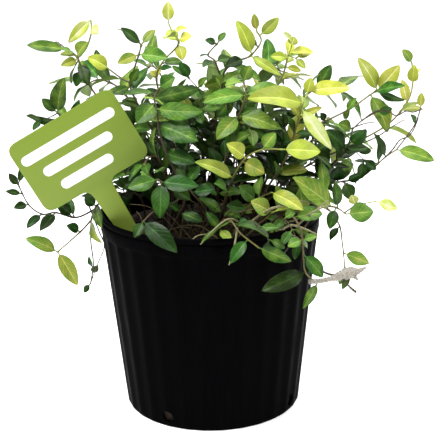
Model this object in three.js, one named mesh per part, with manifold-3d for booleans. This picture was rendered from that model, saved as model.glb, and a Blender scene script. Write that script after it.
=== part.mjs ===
// Potted minima asiatic jasmine: a fluted black nursery pot with dark bark soil,
// wiry stems with opposite leaves, and a plain green plant label.
// Millimetres, +Z up, origin at the centre of the pot's underside, front at -Y.
import * as THREE from 'three';
import { mergeVertices } from 'three/addons/utils/BufferGeometryUtils.js';
import Module from 'manifold-3d';

// Pot, a trade-gallon nursery pot
const POT_HEIGHT = 152;
const POT_TOP_RADIUS = 82.5;
const POT_BASE_RADIUS = 67.2;
const POT_FLOOR = 2.2;
const POT_INNER_TOP_RADIUS = 80;
const POT_INNER_BASE_RADIUS = 64.6;
const FLUTE_COUNT = 30;
const FLUTE_DEPTH = 1.1;
const FLUTE_TOP = 137.5;
const DRAIN_RADIUS = 4.5;
const DRAIN_HEIGHT = 8.5;
const DRAIN_ANGLES = [-30, 60, 150, 240];

// Soil
const SOIL_TOP = 134;
const SOIL_RADIUS = 77.8;
const SOIL_BASE_RADIUS = 64.2;
const SOIL_BUMP = 1.6;
const STEM_FOOT = 121;
const SEAT_GAP = 0.3;

// Plant label
const LABEL_WIDTH = 87;
const LABEL_HEIGHT = 56;
const LABEL_CORNER = 8;
const LABEL_THICKNESS = 1.5;
const LABEL_CENTRE = [-92.5, -33, 204.5];
const LABEL_TILT = 29.5;
const STAKE_WIDTH = 10;
const STAKE_TOP_WIDTH = 17;
const STAKE_LENGTH = 84;
const STAKE_FLARE = 7;

// Leaves
const BLADE_THICKNESS = 0.7;
const NODE_HALF = 0.6;
const BLADE_ARCH = 0.07;
const BLADE_FOLD = 0.28;
const LEAF_GAP = 3.4;
const OWN_LEAF_GAP = 2.4;
const STEM_GAP = 2.8;
const OWN_STEM_GAP = 2.3;
const PAIR_SPREAD = 0.7;
const OWN_STEM_REACH = 3.6;

// Tip shift (mm) and roll (degrees) tried in turn where a chosen leaf would touch something
const CHOSEN_TRIES = [
  [0, 0], [-4, 0], [4, 0], [0, 30], [0, -30], [-8, 0], [8, 0], [-6, 45], [6, -45], [-12, 0], [12, 0],
  [0, 60], [0, -60], [-16, 0], [16, 0], [-12, 40], [12, -40], [-12, -40], [12, 40], [-20, 0], [20, 0],
];

// Finishes
const SLOTS = {
  pot_plastic: { color: 0x17171a, roughness: 0.5 },
  soil: { color: 0x241a13, roughness: 0.95 },
  label_plastic: { color: 0x8da641, roughness: 0.55 },
  leaf: { color: 0x2f5a26, roughness: 0.4 },
  young_leaf: { color: 0x9dbb35, roughness: 0.45 },
};

// Every stem: routes run through hand-chosen points in mm, rooted in the soil or on an earlier
// route (on: [route, position along it]). A leaf is [position, tip x, y, z, width, turn].
// pairs is [from, to, count, leaf length] for leaves that grow by the seeded rule.
const SHOOTS = [
  {
    name: 'leafy_stem_01',
    slot: 'leaf',
    routes: [
      {
        // upper left spray, behind the label
        radii: [1.4, 0.95],
        points: [
          [-22, 2, 121], [-22, 2, 141], [-33, 2, 177], [-58, 4, 213], [-82, 5, 238], [-91, 4, 257],
          [-95, 4, 267], [-102, 4, 272],
        ],
        leaves: [
          [5.4, -86, -6, 247, 9], [5.0, -96, -2, 245, 10, 20], [5.9, -85, 0, 278, 11],
          [6, -107, 4, 268, 8, 25], [5.7, -105, -8, 262, 7, -30], [7, -130, 0, 276, 10],
        ],
        pairs: [2.6, 4.6, 3, 22],
      },
      {
        // drooping young tip
        on: [0, 5.8],
        radii: [1.0, 0.9],
        points: [
          [-88, 10, 272], [-84, 12, 283], [-84, 12, 292],
        ],
        leaves: [
          [3, -100, 2, 277, 9, -20], [2.4, -78, 4, 283, 8],
        ],
      },
    ],
  },
  {
    name: 'leafy_stem_02',
    slot: 'leaf',
    routes: [
      {
        // left spray above the label
        radii: [1.3, 0.95],
        points: [
          [-34, 12, 121], [-34, 12, 141], [-38, 12, 163], [-67, 12, 187], [-96, 8, 211],
          [-111, 5, 225],
        ],
        leaves: [
          [5, -104, 0, 252, 13], [4.3, -95, 10, 234, 7], [4.3, -131, 4, 223, 8],
        ],
        pairs: [2.6, 4.4, 3, 20],
      },
    ],
  },
  {
    name: 'leafy_stem_03',
    slot: 'leaf',
    routes: [
      {
        // upright stem left of centre
        radii: [1.4, 0.95],
        points: [
          [-13, -6, 121], [-13, -6, 141], [-34, -4, 198], [-48, -4, 226], [-56, -2, 245],
          [-53, -2, 257], [-49, -2, 268], [-47, -2, 275],
        ],
        leaves: [
          [7, -61, -6, 288, 8], [7, -65, 8, 285, 8, 65], [7, -37, 4, 285, 7], [6, -64, -10, 263, 9],
          [6, -28, -8, 266, 13], [4.2, -49, -8, 259, 7], [4, -68, -8, 241, 8],
        ],
        pairs: [2.6, 3.7, 3, 26],
      },
      {
        // side twig to the left
        on: [0, 4.2],
        radii: [1.0, 0.9],
        points: [
          [-62, 2, 250], [-71, 2, 257],
        ],
        leaves: [
          [2, -86, -4, 267, 12], [1, -84, -4, 247, 7, 40],
        ],
      },
    ],
  },
  {
    name: 'young_shoot_01',
    slot: 'young_leaf',
    routes: [
      {
        // tallest young shoot
        radii: [1.3, 0.9],
        points: [
          [-5, 12, 121], [-5, 12, 141], [-23, 12, 186], [-32, 16, 222], [-38, 20, 246], [-33, 22, 259],
          [-21, 24, 272], [-26, 26, 282], [-28, 26, 287],
        ],
        leaves: [
          [8, -28, 26, 303, 9], [6.2, -11, 18, 278, 9], [6.5, -31, 20, 277, 12, 15],
          [6, -18, 16, 261, 9], [4.6, -26, 18, 256, 5], [4.9, -19, 20, 257, 8], [4.1, -43, 22, 252, 7],
        ],
        pairs: [2.5, 4.0, 3, 24],
      },
    ],
  },
  {
    name: 'leafy_stem_04',
    slot: 'leaf',
    routes: [
      {
        // twig with small leaves
        radii: [1.3, 0.9],
        points: [
          [1, -1, 121], [1, -1, 141], [2, 0, 189], [6, 0, 225], [10, 2, 245], [6, 4, 261], [1, 6, 266],
          [8, 6, 274],
        ],
        leaves: [
          [6.9, -1, 4, 277, 6], [7, 14, 8, 281, 5], [6, -5, 4, 265, 6, 50], [5, -3, -4, 259, 8, 20],
          [5, 18, 12, 262, 8], [3.8, 6, -12, 252, 12], [3.8, -3, -14, 238, 9],
        ],
        pairs: [2.5, 4.6, 4, 22],
      },
    ],
  },
  {
    name: 'leafy_stem_05',
    slot: 'leaf',
    routes: [
      {
        // dark stem at the top
        radii: [1.4, 0.9],
        points: [
          [11, 6, 121], [11, 6, 141], [13, 6, 195], [15, 6, 229], [12, 8, 251], [22, 10, 260],
          [32, 11, 264], [40, 14, 274], [37, 16, 281],
        ],
        leaves: [
          [6.1, 22, 8, 290, 12], [5.5, 13, 2, 258, 9, -15], [8, 35, 16, 294, 6], [7.5, 53, 14, 291, 9],
          [6.6, 33, 12, 278, 5], [6, 54, 2, 250, 8], [4.6, 39, 2, 246, 10], [3.8, -2, 0, 243, 10],
        ],
        pairs: [2.4, 4.2, 4, 25],
      },
    ],
  },
  {
    name: 'young_shoot_02',
    slot: 'young_leaf',
    routes: [
      {
        // young shoot, top right
        radii: [1.3, 0.9],
        points: [
          [24, 16, 121], [24, 16, 141], [27, 20, 183], [44, 30, 220], [57, 36, 245], [61, 38, 258],
          [64, 38, 267],
        ],
        leaves: [
          [5, 48, 34, 260, 8, -20], [6, 66, 38, 274, 8], [5.3, 80, 34, 262, 11], [6, 57, 36, 279, 6],
          [4.4, 71, 36, 248, 6],
        ],
        pairs: [2.4, 4.6, 4, 24],
      },
    ],
  },
  {
    name: 'leafy_stem_06',
    slot: 'leaf',
    routes: [
      {
        // broad leaves left of centre
        radii: [1.5, 0.9],
        points: [
          [-20, -20, 121], [-20, -20, 141], [-19, -28, 173], [-29, -36, 200], [-34, -40, 219],
          [-35, -40, 233], [-37, -36, 242], [-34, -32, 248],
        ],
        leaves: [
          [5.6, -49, -50, 227, 15], [7, -22, -34, 256, 12], [6, -5, -38, 250, 12],
          [5.2, -3, -46, 235, 13, -20], [4.3, -7, -56, 215, 17], [6.4, -60, -34, 244, 9, 30],
          [3.1, -9, -50, 198, 12],
        ],
      },
    ],
  },
  {
    name: 'leafy_stem_07',
    slot: 'leaf',
    routes: [
      {
        // low stem, front left
        radii: [1.4, 0.95],
        points: [
          [-30, -34, 121], [-30, -34, 140], [-17, -46, 171], [-28, -56, 182], [-35, -58, 189],
        ],
        leaves: [
          [4, -56, -62, 184, 12], [3.6, -7, -64, 185, 13], [3.6, -34, -66, 164, 13],
          [2.8, -13, -62, 175, 10],
        ],
        pairs: [1.6, 2.4, 1, 18],
      },
      {
        // leaf hanging over the rim
        on: [0, 2.2],
        radii: [1.0, 0.9],
        points: [
          [-30, -60, 169], [-39, -68, 168], [-45, -76, 164],
        ],
        leaves: [
          [3, -22, -92, 146, 14], [3, -51, -84, 155, 8],
        ],
      },
    ],
  },
  {
    name: 'leafy_stem_08',
    slot: 'leaf',
    routes: [
      {
        // over the left rim
        radii: [1.3, 0.9],
        points: [
          [-48, -4, 121], [-48, -4, 142], [-52, -8, 164], [-68, -9, 166], [-81, -8, 160],
          [-88, -7, 149], [-90, -6, 130], [-89, -6, 111], [-92, -6, 95],
        ],
        leaves: [
          [5.2, -78, -34, 138, 9, 10], [7.4, -85, -6, 112, 6], [8, -97, -6, 88, 5],
          [3.6, -95, -14, 166, 8, 30], [3, -75, -18, 173, 9], [4.4, -93, -6, 163, 9],
          [4.4, -77, -43, 150, 9],
        ],
      },
      {
        // outer twig with two olive leaves
        on: [0, 5.2],
        radii: [1.0, 0.9],
        points: [
          [-97, -12, 138], [-114, -16, 124],
        ],
        leaves: [
          [2, -137, -16, 135, 11], [2, -100, -20, 99, 12], [1, -106, -18, 145, 8],
        ],
      },
      {
        // outer twig with dark leaves
        on: [0, 4.6],
        radii: [1.0, 0.9],
        points: [
          [-99, -14, 150], [-114, -14, 154], [-124, -14, 153], [-134, -12, 160], [-141, -10, 175],
        ],
        leaves: [
          [1.2, -113, -18, 164, 9], [2, -124, -16, 144, 9], [3, -134, -14, 146, 7],
          [4, -144, -14, 159, 7], [4.9, -147, -12, 184, 6], [5, -136, -8, 188, 6],
          [4.5, -150, -10, 171, 5],
        ],
      },
    ],
  },
  {
    name: 'leafy_stem_09',
    slot: 'leaf',
    routes: [
      {
        // behind the label, middle
        radii: [1.3, 0.95],
        points: [
          [-40, -14, 121], [-40, -14, 141], [-36, -16, 166], [-44, -18, 185], [-51, -16, 201],
          [-55, -12, 215],
        ],
        leaves: [
          [5, -60, -16, 229, 10], [5, -41, -24, 218, 12],
        ],
        pairs: [1.7, 4.8, 5, 24],
      },
    ],
  },
  {
    name: 'young_shoot_03',
    slot: 'young_leaf',
    routes: [
      {
        // large lime leaves right of centre
        radii: [1.4, 0.95],
        points: [
          [29, -12, 121], [29, -12, 141], [39, -18, 165], [55, -22, 193], [64, -24, 219],
          [68, -24, 234], [72, -20, 242],
        ],
        leaves: [
          [5, 28, -44, 242, 18], [6, 102, -16, 243, 13], [4.7, 87, -40, 204, 11],
          [5.6, 74, -20, 252, 8], [4.2, 82, -18, 230, 6],
        ],
        pairs: [2.6, 4.2, 3, 25],
      },
    ],
  },
  {
    name: 'young_shoot_04',
    slot: 'young_leaf',
    routes: [
      {
        // low lime leaves in the middle
        radii: [1.3, 0.95],
        points: [
          [8, -26, 121], [8, -26, 141], [11, -38, 166], [17, -46, 186], [26, -50, 201], [38, -50, 207],
          [52, -46, 206],
        ],
        leaves: [
          [6, 79, -42, 203, 16], [4, 13, -56, 213, 12], [3.8, 39, -58, 192, 13], [3, -9, -58, 201, 11],
          [5, 47, -52, 219, 11], [2.4, 4, -58, 186, 11],
        ],
        pairs: [1.6, 2.2, 1, 20],
      },
    ],
  },
  {
    name: 'leafy_stem_10',
    slot: 'leaf',
    routes: [
      {
        // centre
        radii: [1.4, 0.95],
        points: [
          [3, -12, 121], [3, -12, 141], [8, -20, 178], [16, -28, 208], [22, -30, 227], [27, -26, 241],
          [26, -22, 250],
        ],
        leaves: [
          [4, 49, -40, 220, 14], [4, 6, -42, 213, 13], [6, 31, -24, 262, 10], [5, -3, -34, 238, 12],
          [5, 51, -30, 247, 13], [2.7, 30, -40, 218, 12], [6, 13, -26, 248, 10],
        ],
        pairs: [1.7, 2.8, 2, 24],
      },
    ],
  },
  {
    name: 'leafy_stem_11',
    slot: 'leaf',
    routes: [
      {
        // bright leaf at the right
        radii: [1.4, 0.95],
        points: [
          [34, -24, 121], [34, -24, 141], [45, -34, 157], [67, -38, 158], [88, -36, 161],
          [99, -32, 154],
        ],
        leaves: [
          [4, 59, -48, 186, 18], [5, 119, -30, 155, 16], [4.2, 86, -42, 146, 9],
          [4.3, 90, -34, 179, 10], [3, 65, -40, 176, 12], [2.5, 47, -48, 180, 12],
        ],
        pairs: [1.6, 2.2, 1, 20],
      },
      {
        // pale outer leaf
        on: [0, 4.8],
        radii: [0.8, 0.9],
        points: [
          [107, -24, 158], [122, -20, 160],
        ],
        leaves: [
          [2, 138, -20, 154, 9], [1, 104, -24, 165, 8],
        ],
      },
    ],
  },
  {
    name: 'leafy_stem_12',
    slot: 'leaf',
    routes: [
      {
        // far right, long leaf
        radii: [1.3, 0.9],
        points: [
          [42, 4, 121], [42, 4, 141], [62, 4, 156], [91, 6, 167], [114, 8, 171], [131, 6, 186],
          [140, 4, 193],
        ],
        leaves: [
          [6, 167, -4, 186, 12], [4.7, 108, 2, 185, 8, 40], [4.7, 126, 4, 205, 6, 30],
          [3.4, 107, 4, 155, 11], [3.2, 96, 0, 182, 13],
        ],
        pairs: [1.7, 3.2, 3, 24],
      },
      {
        // wiry tip going up
        on: [0, 6],
        radii: [0.7, 0.9],
        points: [
          [148, 8, 202], [155, 12, 211], [159, 14, 222],
        ],
        leaves: [
          [2.0, 150, 10, 219, 5], [3, 159, 14, 234, 6],
        ],
      },
    ],
  },
  {
    name: 'leafy_stem_13',
    slot: 'leaf',
    routes: [
      {
        // dark mass at the right
        radii: [1.4, 0.95],
        points: [
          [46, 16, 121], [46, 16, 141], [70, 14, 161], [89, 6, 179], [102, 2, 194], [107, 4, 209],
        ],
        leaves: [
          [4, 86, -2, 211, 14], [5, 96, 2, 215, 10], [4.3, 116, 0, 211, 11], [3.8, 118, -4, 196, 12],
          [3.2, 78, -2, 192, 13],
        ],
        pairs: [1.7, 3.4, 3, 26],
      },
      {
        // bare twig
        on: [0, 5],
        radii: [0.7, 0.9],
        points: [
          [114, 6, 215], [125, 8, 221],
        ],
        leaves: [
          [2, 137, 10, 223, 7, 40],
        ],
      },
    ],
  },
  {
    name: 'young_shoot_05',
    slot: 'young_leaf',
    routes: [
      {
        // upper right spray
        radii: [1.3, 0.95],
        points: [
          [32, 4, 121], [32, 4, 141], [47, 8, 178], [70, 14, 203], [88, 16, 213], [107, 18, 222],
          [122, 20, 232], [127, 20, 235],
        ],
        leaves: [
          [7, 112, 18, 260, 12], [7, 143, 18, 254, 13], [6.6, 144, 14, 242, 10],
          [6.8, 147, 16, 228, 8, 45], [6.0, 134, 10, 205, 13], [4.8, 111, 14, 231, 6],
          [4, 84, 14, 220, 6], [5, 103, 14, 213, 6],
        ],
        pairs: [1.8, 3.8, 4, 25],
      },
    ],
  },
  {
    name: 'young_shoot_06',
    slot: 'young_leaf',
    routes: [
      {
        // outermost young leaves
        radii: [1.3, 0.9],
        points: [
          [36, 24, 121], [36, 24, 141], [70, 30, 172], [109, 38, 189], [139, 44, 204], [154, 46, 221],
          [158, 46, 235], [157, 46, 251],
        ],
        leaves: [
          [7, 149, 44, 262, 8], [6, 158, 40, 251, 9, -20], [5, 148, 42, 240, 9],
          [6.3, 165, 46, 246, 8],
        ],
        pairs: [1.8, 4.6, 5, 24],
      },
    ],
  },
  {
    name: 'leafy_stem_14',
    slot: 'leaf',
    routes: [
      {
        // over the rim, front right
        radii: [1.4, 0.9],
        points: [
          [36, -44, 121], [36, -44, 142], [53, -60, 163], [62, -76, 158], [64, -80, 143],
          [66, -78, 126], [75, -72, 116],
        ],
        leaves: [
          [5, 35, -90, 117, 14], [4.2, 78, -80, 123, 11], [6, 64, -84, 101, 7], [3.6, 53, -88, 148, 8],
          [2.5, 79, -60, 163, 12],
        ],
      },
      {
        // bare woody end
        on: [0, 6],
        radii: [1.1, 0.9],
        points: [
          [89, -62, 116], [105, -54, 119],
        ],
        leaves: [
          [1.6, 94, -60, 105, 5],
        ],
      },
    ],
  },
  {
    name: 'leafy_stem_15',
    slot: 'leaf',
    routes: [
      {
        // over the rim, front centre
        radii: [1.3, 0.95],
        points: [
          [6, -46, 121], [6, -46, 142], [9, -62, 159], [15, -76, 163], [21, -88, 158], [33, -92, 149],
        ],
        leaves: [
          [3.3, 40, -96, 155, 15], [4.4, 14, -98, 140, 9], [5, 55, -96, 140, 10, 25],
          [3, -6, -88, 152, 8, 50],
        ],
        pairs: [1.4, 2.2, 1, 20],
      },
    ],
  },
  {
    name: 'leafy_stem_16',
    slot: 'leaf',
    routes: [
      {
        // olive leaves above the rim
        radii: [1.3, 0.9],
        points: [
          [24, -38, 121], [24, -38, 142], [37, -52, 155], [44, -56, 163],
        ],
        leaves: [
          [3, 29, -62, 173, 13], [3, 66, -64, 167, 11],
        ],
      },
    ],
  },
  {
    name: 'leafy_stem_30',
    slot: 'leaf',
    routes: [
      {
        // low olive leaves
        radii: [1.3, 0.9],
        points: [
          [14, -34, 121], [14, -34, 141], [24, -44, 159], [33, -48, 170], [44, -50, 176],
        ],
        leaves: [
          [4, 65, -54, 168, 12], [3, 21, -54, 182, 12], [3.2, 38, -44, 185, 10],
          [2.3, 12, -54, 168, 10],
        ],
      },
    ],
  },
  {
    name: 'leafy_stem_31',
    slot: 'leaf',
    routes: [
      {
        // low leaves at the front
        radii: [1.3, 0.9],
        points: [
          [-8, -36, 121], [-8, -36, 141], [-4, -46, 164], [-12, -50, 177], [-15, -48, 184],
        ],
        leaves: [
          [4, -6, -46, 195, 8], [4, -23, -44, 193, 9], [3, 4, -54, 180, 10],
        ],
        pairs: [1.6, 2.3, 1, 18],
      },
    ],
  },
  {
    name: 'leafy_stem_17',
    slot: 'leaf',
    routes: [
      {
        // twig at the right side
        radii: [1.2, 0.9],
        points: [
          [52, -18, 121], [52, -18, 142], [80, -18, 157], [95, -14, 143], [99, -12, 124],
          [101, -12, 106],
        ],
        leaves: [
          [4.3, 119, -14, 110, 11], [3.2, 89, -18, 130, 7, 30], [5, 97, -12, 93, 6],
          [5, 110, -12, 96, 5],
        ],
        pairs: [1.7, 2.6, 1, 22],
      },
    ],
  },
  {
    name: 'leafy_stem_18',
    slot: 'leaf',
    routes: [
      {
        // rear left
        radii: [1.4, 0.95],
        points: [
          [-26, 26, 121], [-26, 26, 141], [-44, 35, 193], [-64, 46, 231], [-83, 56, 241],
          [-96, 62, 236],
        ],
        pairs: [1.8, 4.75, 6, 27],
      },
    ],
  },
  {
    name: 'leafy_stem_19',
    slot: 'leaf',
    routes: [
      {
        // rear left, high
        radii: [1.4, 0.95],
        points: [
          [-14, 32, 121], [-14, 32, 141], [-22, 44, 195], [-33, 58, 235], [-42, 71, 248],
          [-48, 80, 246],
        ],
        pairs: [1.8, 4.75, 6, 27],
      },
    ],
  },
  {
    name: 'leafy_stem_20',
    slot: 'leaf',
    routes: [
      {
        // rear centre, high
        radii: [1.4, 0.95],
        points: [
          [2, 30, 121], [2, 30, 141], [3, 44, 186], [4, 60, 217], [5, 74, 228], [6, 84, 226],
        ],
        pairs: [1.8, 4.75, 6, 26],
      },
    ],
  },
  {
    name: 'leafy_stem_21',
    slot: 'leaf',
    routes: [
      {
        // rear right, high
        radii: [1.4, 0.95],
        points: [
          [18, 34, 121], [18, 34, 141], [28, 47, 194], [40, 63, 233], [51, 77, 245], [58, 86, 241],
        ],
        pairs: [1.8, 4.75, 6, 27],
      },
    ],
  },
  {
    name: 'leafy_stem_22',
    slot: 'leaf',
    routes: [
      {
        // rear right
        radii: [1.4, 0.95],
        points: [
          [34, 34, 121], [34, 34, 141], [52, 44, 189], [74, 56, 223], [93, 67, 231], [106, 74, 226],
        ],
        pairs: [1.8, 4.75, 6, 27],
      },
    ],
  },
  {
    name: 'leafy_stem_23',
    slot: 'leaf',
    routes: [
      {
        // low, rear left
        radii: [1.4, 0.95],
        points: [
          [-40, 24, 121], [-40, 24, 141], [-58, 28, 176], [-80, 33, 200], [-99, 37, 198],
          [-112, 40, 186],
        ],
        pairs: [1.8, 4.75, 6, 24],
      },
    ],
  },
  {
    name: 'leafy_stem_24',
    slot: 'leaf',
    routes: [
      {
        // low, rear centre
        radii: [1.4, 0.95],
        points: [
          [-2, 44, 121], [-2, 44, 141], [-5, 62, 181], [-9, 85, 210], [-12, 105, 209], [-14, 118, 196],
        ],
        pairs: [1.8, 4.75, 6, 24],
      },
    ],
  },
  {
    name: 'leafy_stem_25',
    slot: 'leaf',
    routes: [
      {
        // low, rear right
        radii: [1.4, 0.95],
        points: [
          [44, 30, 121], [44, 30, 141], [60, 39, 171], [80, 50, 190], [98, 60, 187], [110, 66, 176],
        ],
        pairs: [1.8, 4.75, 6, 24],
      },
    ],
  },
  {
    name: 'leafy_stem_26',
    slot: 'leaf',
    routes: [
      {
        // inner left
        radii: [1.4, 0.95],
        points: [
          [-24, -12, 121], [-24, -12, 141], [-30, -18, 174], [-36, -26, 196], [-42, -33, 199],
          [-46, -38, 194],
        ],
        pairs: [1.7, 4.7, 5, 24],
      },
    ],
  },
  {
    name: 'leafy_stem_27',
    slot: 'leaf',
    routes: [
      {
        // inner centre
        radii: [1.4, 0.95],
        points: [
          [14, -4, 121], [14, -4, 141], [18, -8, 184], [23, -12, 214], [27, -15, 220], [30, -18, 214],
        ],
        pairs: [1.7, 4.7, 6, 26],
      },
    ],
  },
  {
    name: 'leafy_stem_28',
    slot: 'leaf',
    routes: [
      {
        // inner right
        radii: [1.4, 0.95],
        points: [
          [52, -4, 121], [52, -4, 141], [60, -4, 171], [70, -3, 190], [78, -2, 192], [84, -2, 186],
        ],
        pairs: [1.7, 4.7, 5, 24],
      },
    ],
  },
  {
    name: 'leafy_stem_29',
    slot: 'leaf',
    routes: [
      {
        // inner middle, high
        radii: [1.4, 0.95],
        points: [
          [-6, 4, 121], [-6, 4, 141], [-5, 5, 187], [-4, 6, 220], [-3, 7, 232], [-2, 8, 232],
        ],
        pairs: [1.7, 4.7, 7, 26],
      },
    ],
  },
];

const add = (a, b) => [a[0] + b[0], a[1] + b[1], a[2] + b[2]];
const sub = (a, b) => [a[0] - b[0], a[1] - b[1], a[2] - b[2]];
const times = (a, k) => [a[0] * k, a[1] * k, a[2] * k];
const dot = (a, b) => a[0] * b[0] + a[1] * b[1] + a[2] * b[2];
const cross = (a, b) => [
  a[1] * b[2] - a[2] * b[1],
  a[2] * b[0] - a[0] * b[2],
  a[0] * b[1] - a[1] * b[0],
];
const squareOf = (a) => dot(a, a);
const unit = (a) => times(a, 1 / Math.sqrt(dot(a, a)));
const radians = (degrees) => (degrees * Math.PI) / 180;

// A small seeded random sequence between 0 and 1
function randomFrom(seed) {
  let state = seed;
  return () => {
    state = (state * 48271) % 2147483647;
    return state / 2147483647;
  };
}

// A smooth curve through the points; position 0 is the first point, 1 the second and so on
function curvePoint(points, position) {
  const last = points.length - 1;
  const span = Math.min(Math.floor(position), last - 1);
  const t = position - span;
  const p0 = points[Math.max(span - 1, 0)];
  const p1 = points[span];
  const p2 = points[span + 1];
  const p3 = points[Math.min(span + 2, last)];
  const out = [];
  for (let i = 0; i < 3; i += 1) {
    const a = 2 * p1[i];
    const b = (p2[i] - p0[i]) * t;
    const c = (2 * p0[i] - 5 * p1[i] + 4 * p2[i] - p3[i]) * t * t;
    const d = (3 * p1[i] - p0[i] - 3 * p2[i] + p3[i]) * t * t * t;
    out.push(0.5 * (a + b + c + d));
  }
  return out;
}

// A direction turned about a unit axis it is square to
function turned(direction, axis, degrees) {
  const angle = radians(degrees);
  return add(times(direction, Math.cos(angle)), times(cross(axis, direction), Math.sin(angle)));
}

// The frame of one blade: where it starts, its axes and its size
function bladeFrame(root, tip, width, facing, turn) {
  const reach = sub(tip, root);
  const length = Math.sqrt(dot(reach, reach));
  const along = times(reach, 1 / length);
  const flat = unit(sub(facing, times(along, dot(facing, along))));
  const up = turned(flat, along, turn);
  return { root, along, up, side: cross(along, up), length, width };
}

// A point of the blade's middle surface; s runs from -1 to 1 across it
function bladePoint(leaf, t, s, halfWidth) {
  const arch = BLADE_ARCH * leaf.length * 4 * t * (1 - t);
  const out = Math.abs(s) * halfWidth;
  const middle = add(leaf.root, add(times(leaf.along, leaf.length * t), times(leaf.up, arch)));
  return add(middle, add(times(leaf.side, s * halfWidth), times(leaf.up, BLADE_FOLD * out)));
}

// Half the width of the blade at t
function halfWidthAt(leaf, t) {
  return leaf.width * 0.5 * Math.min(Math.sin(Math.PI * Math.pow(t, 0.78)), 0.1 + 2.5 * t);
}

// Points over the blade for the spacing rule
function bladeSamples(leaf) {
  const samples = [];
  for (const t of [0.16, 0.3, 0.44, 0.58, 0.72, 0.86, 1]) {
    const halfWidth = halfWidthAt(leaf, t);
    for (const s of [-1, -0.5, 0, 0.5, 1]) {
      samples.push({ point: bladePoint(leaf, t, s, halfWidth), outer: t > 0.25 });
    }
  }
  return samples;
}

// True where a point keeps clear of the pot, the soil and the label, and isn't in front of it
function clearOfPlanter(point) {
  const [x, y, z] = point;
  const radius = Math.sqrt(x * x + y * y);
  if (radius < 76 && z < SOIL_TOP + 4) return false;
  if (radius >= 76 && radius < 85.5 && z < POT_HEIGHT + 3.5) return false;
  if (y < LABEL_CENTRE[1] + 4) {
    const across = x - LABEL_CENTRE[0];
    const rise = z - LABEL_CENTRE[2];
    const cos = Math.cos(radians(LABEL_TILT));
    const sin = Math.sin(radians(LABEL_TILT));
    const a = across * cos + rise * sin;
    const b = rise * cos - across * sin;
    if (Math.abs(a) < LABEL_WIDTH / 2 + 1 && Math.abs(b) < LABEL_HEIGHT / 2 + 1) return false;
    if (Math.abs(a) < STAKE_TOP_WIDTH / 2 + 1.5 && b < 0) return false;
  }
  return true;
}

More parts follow.
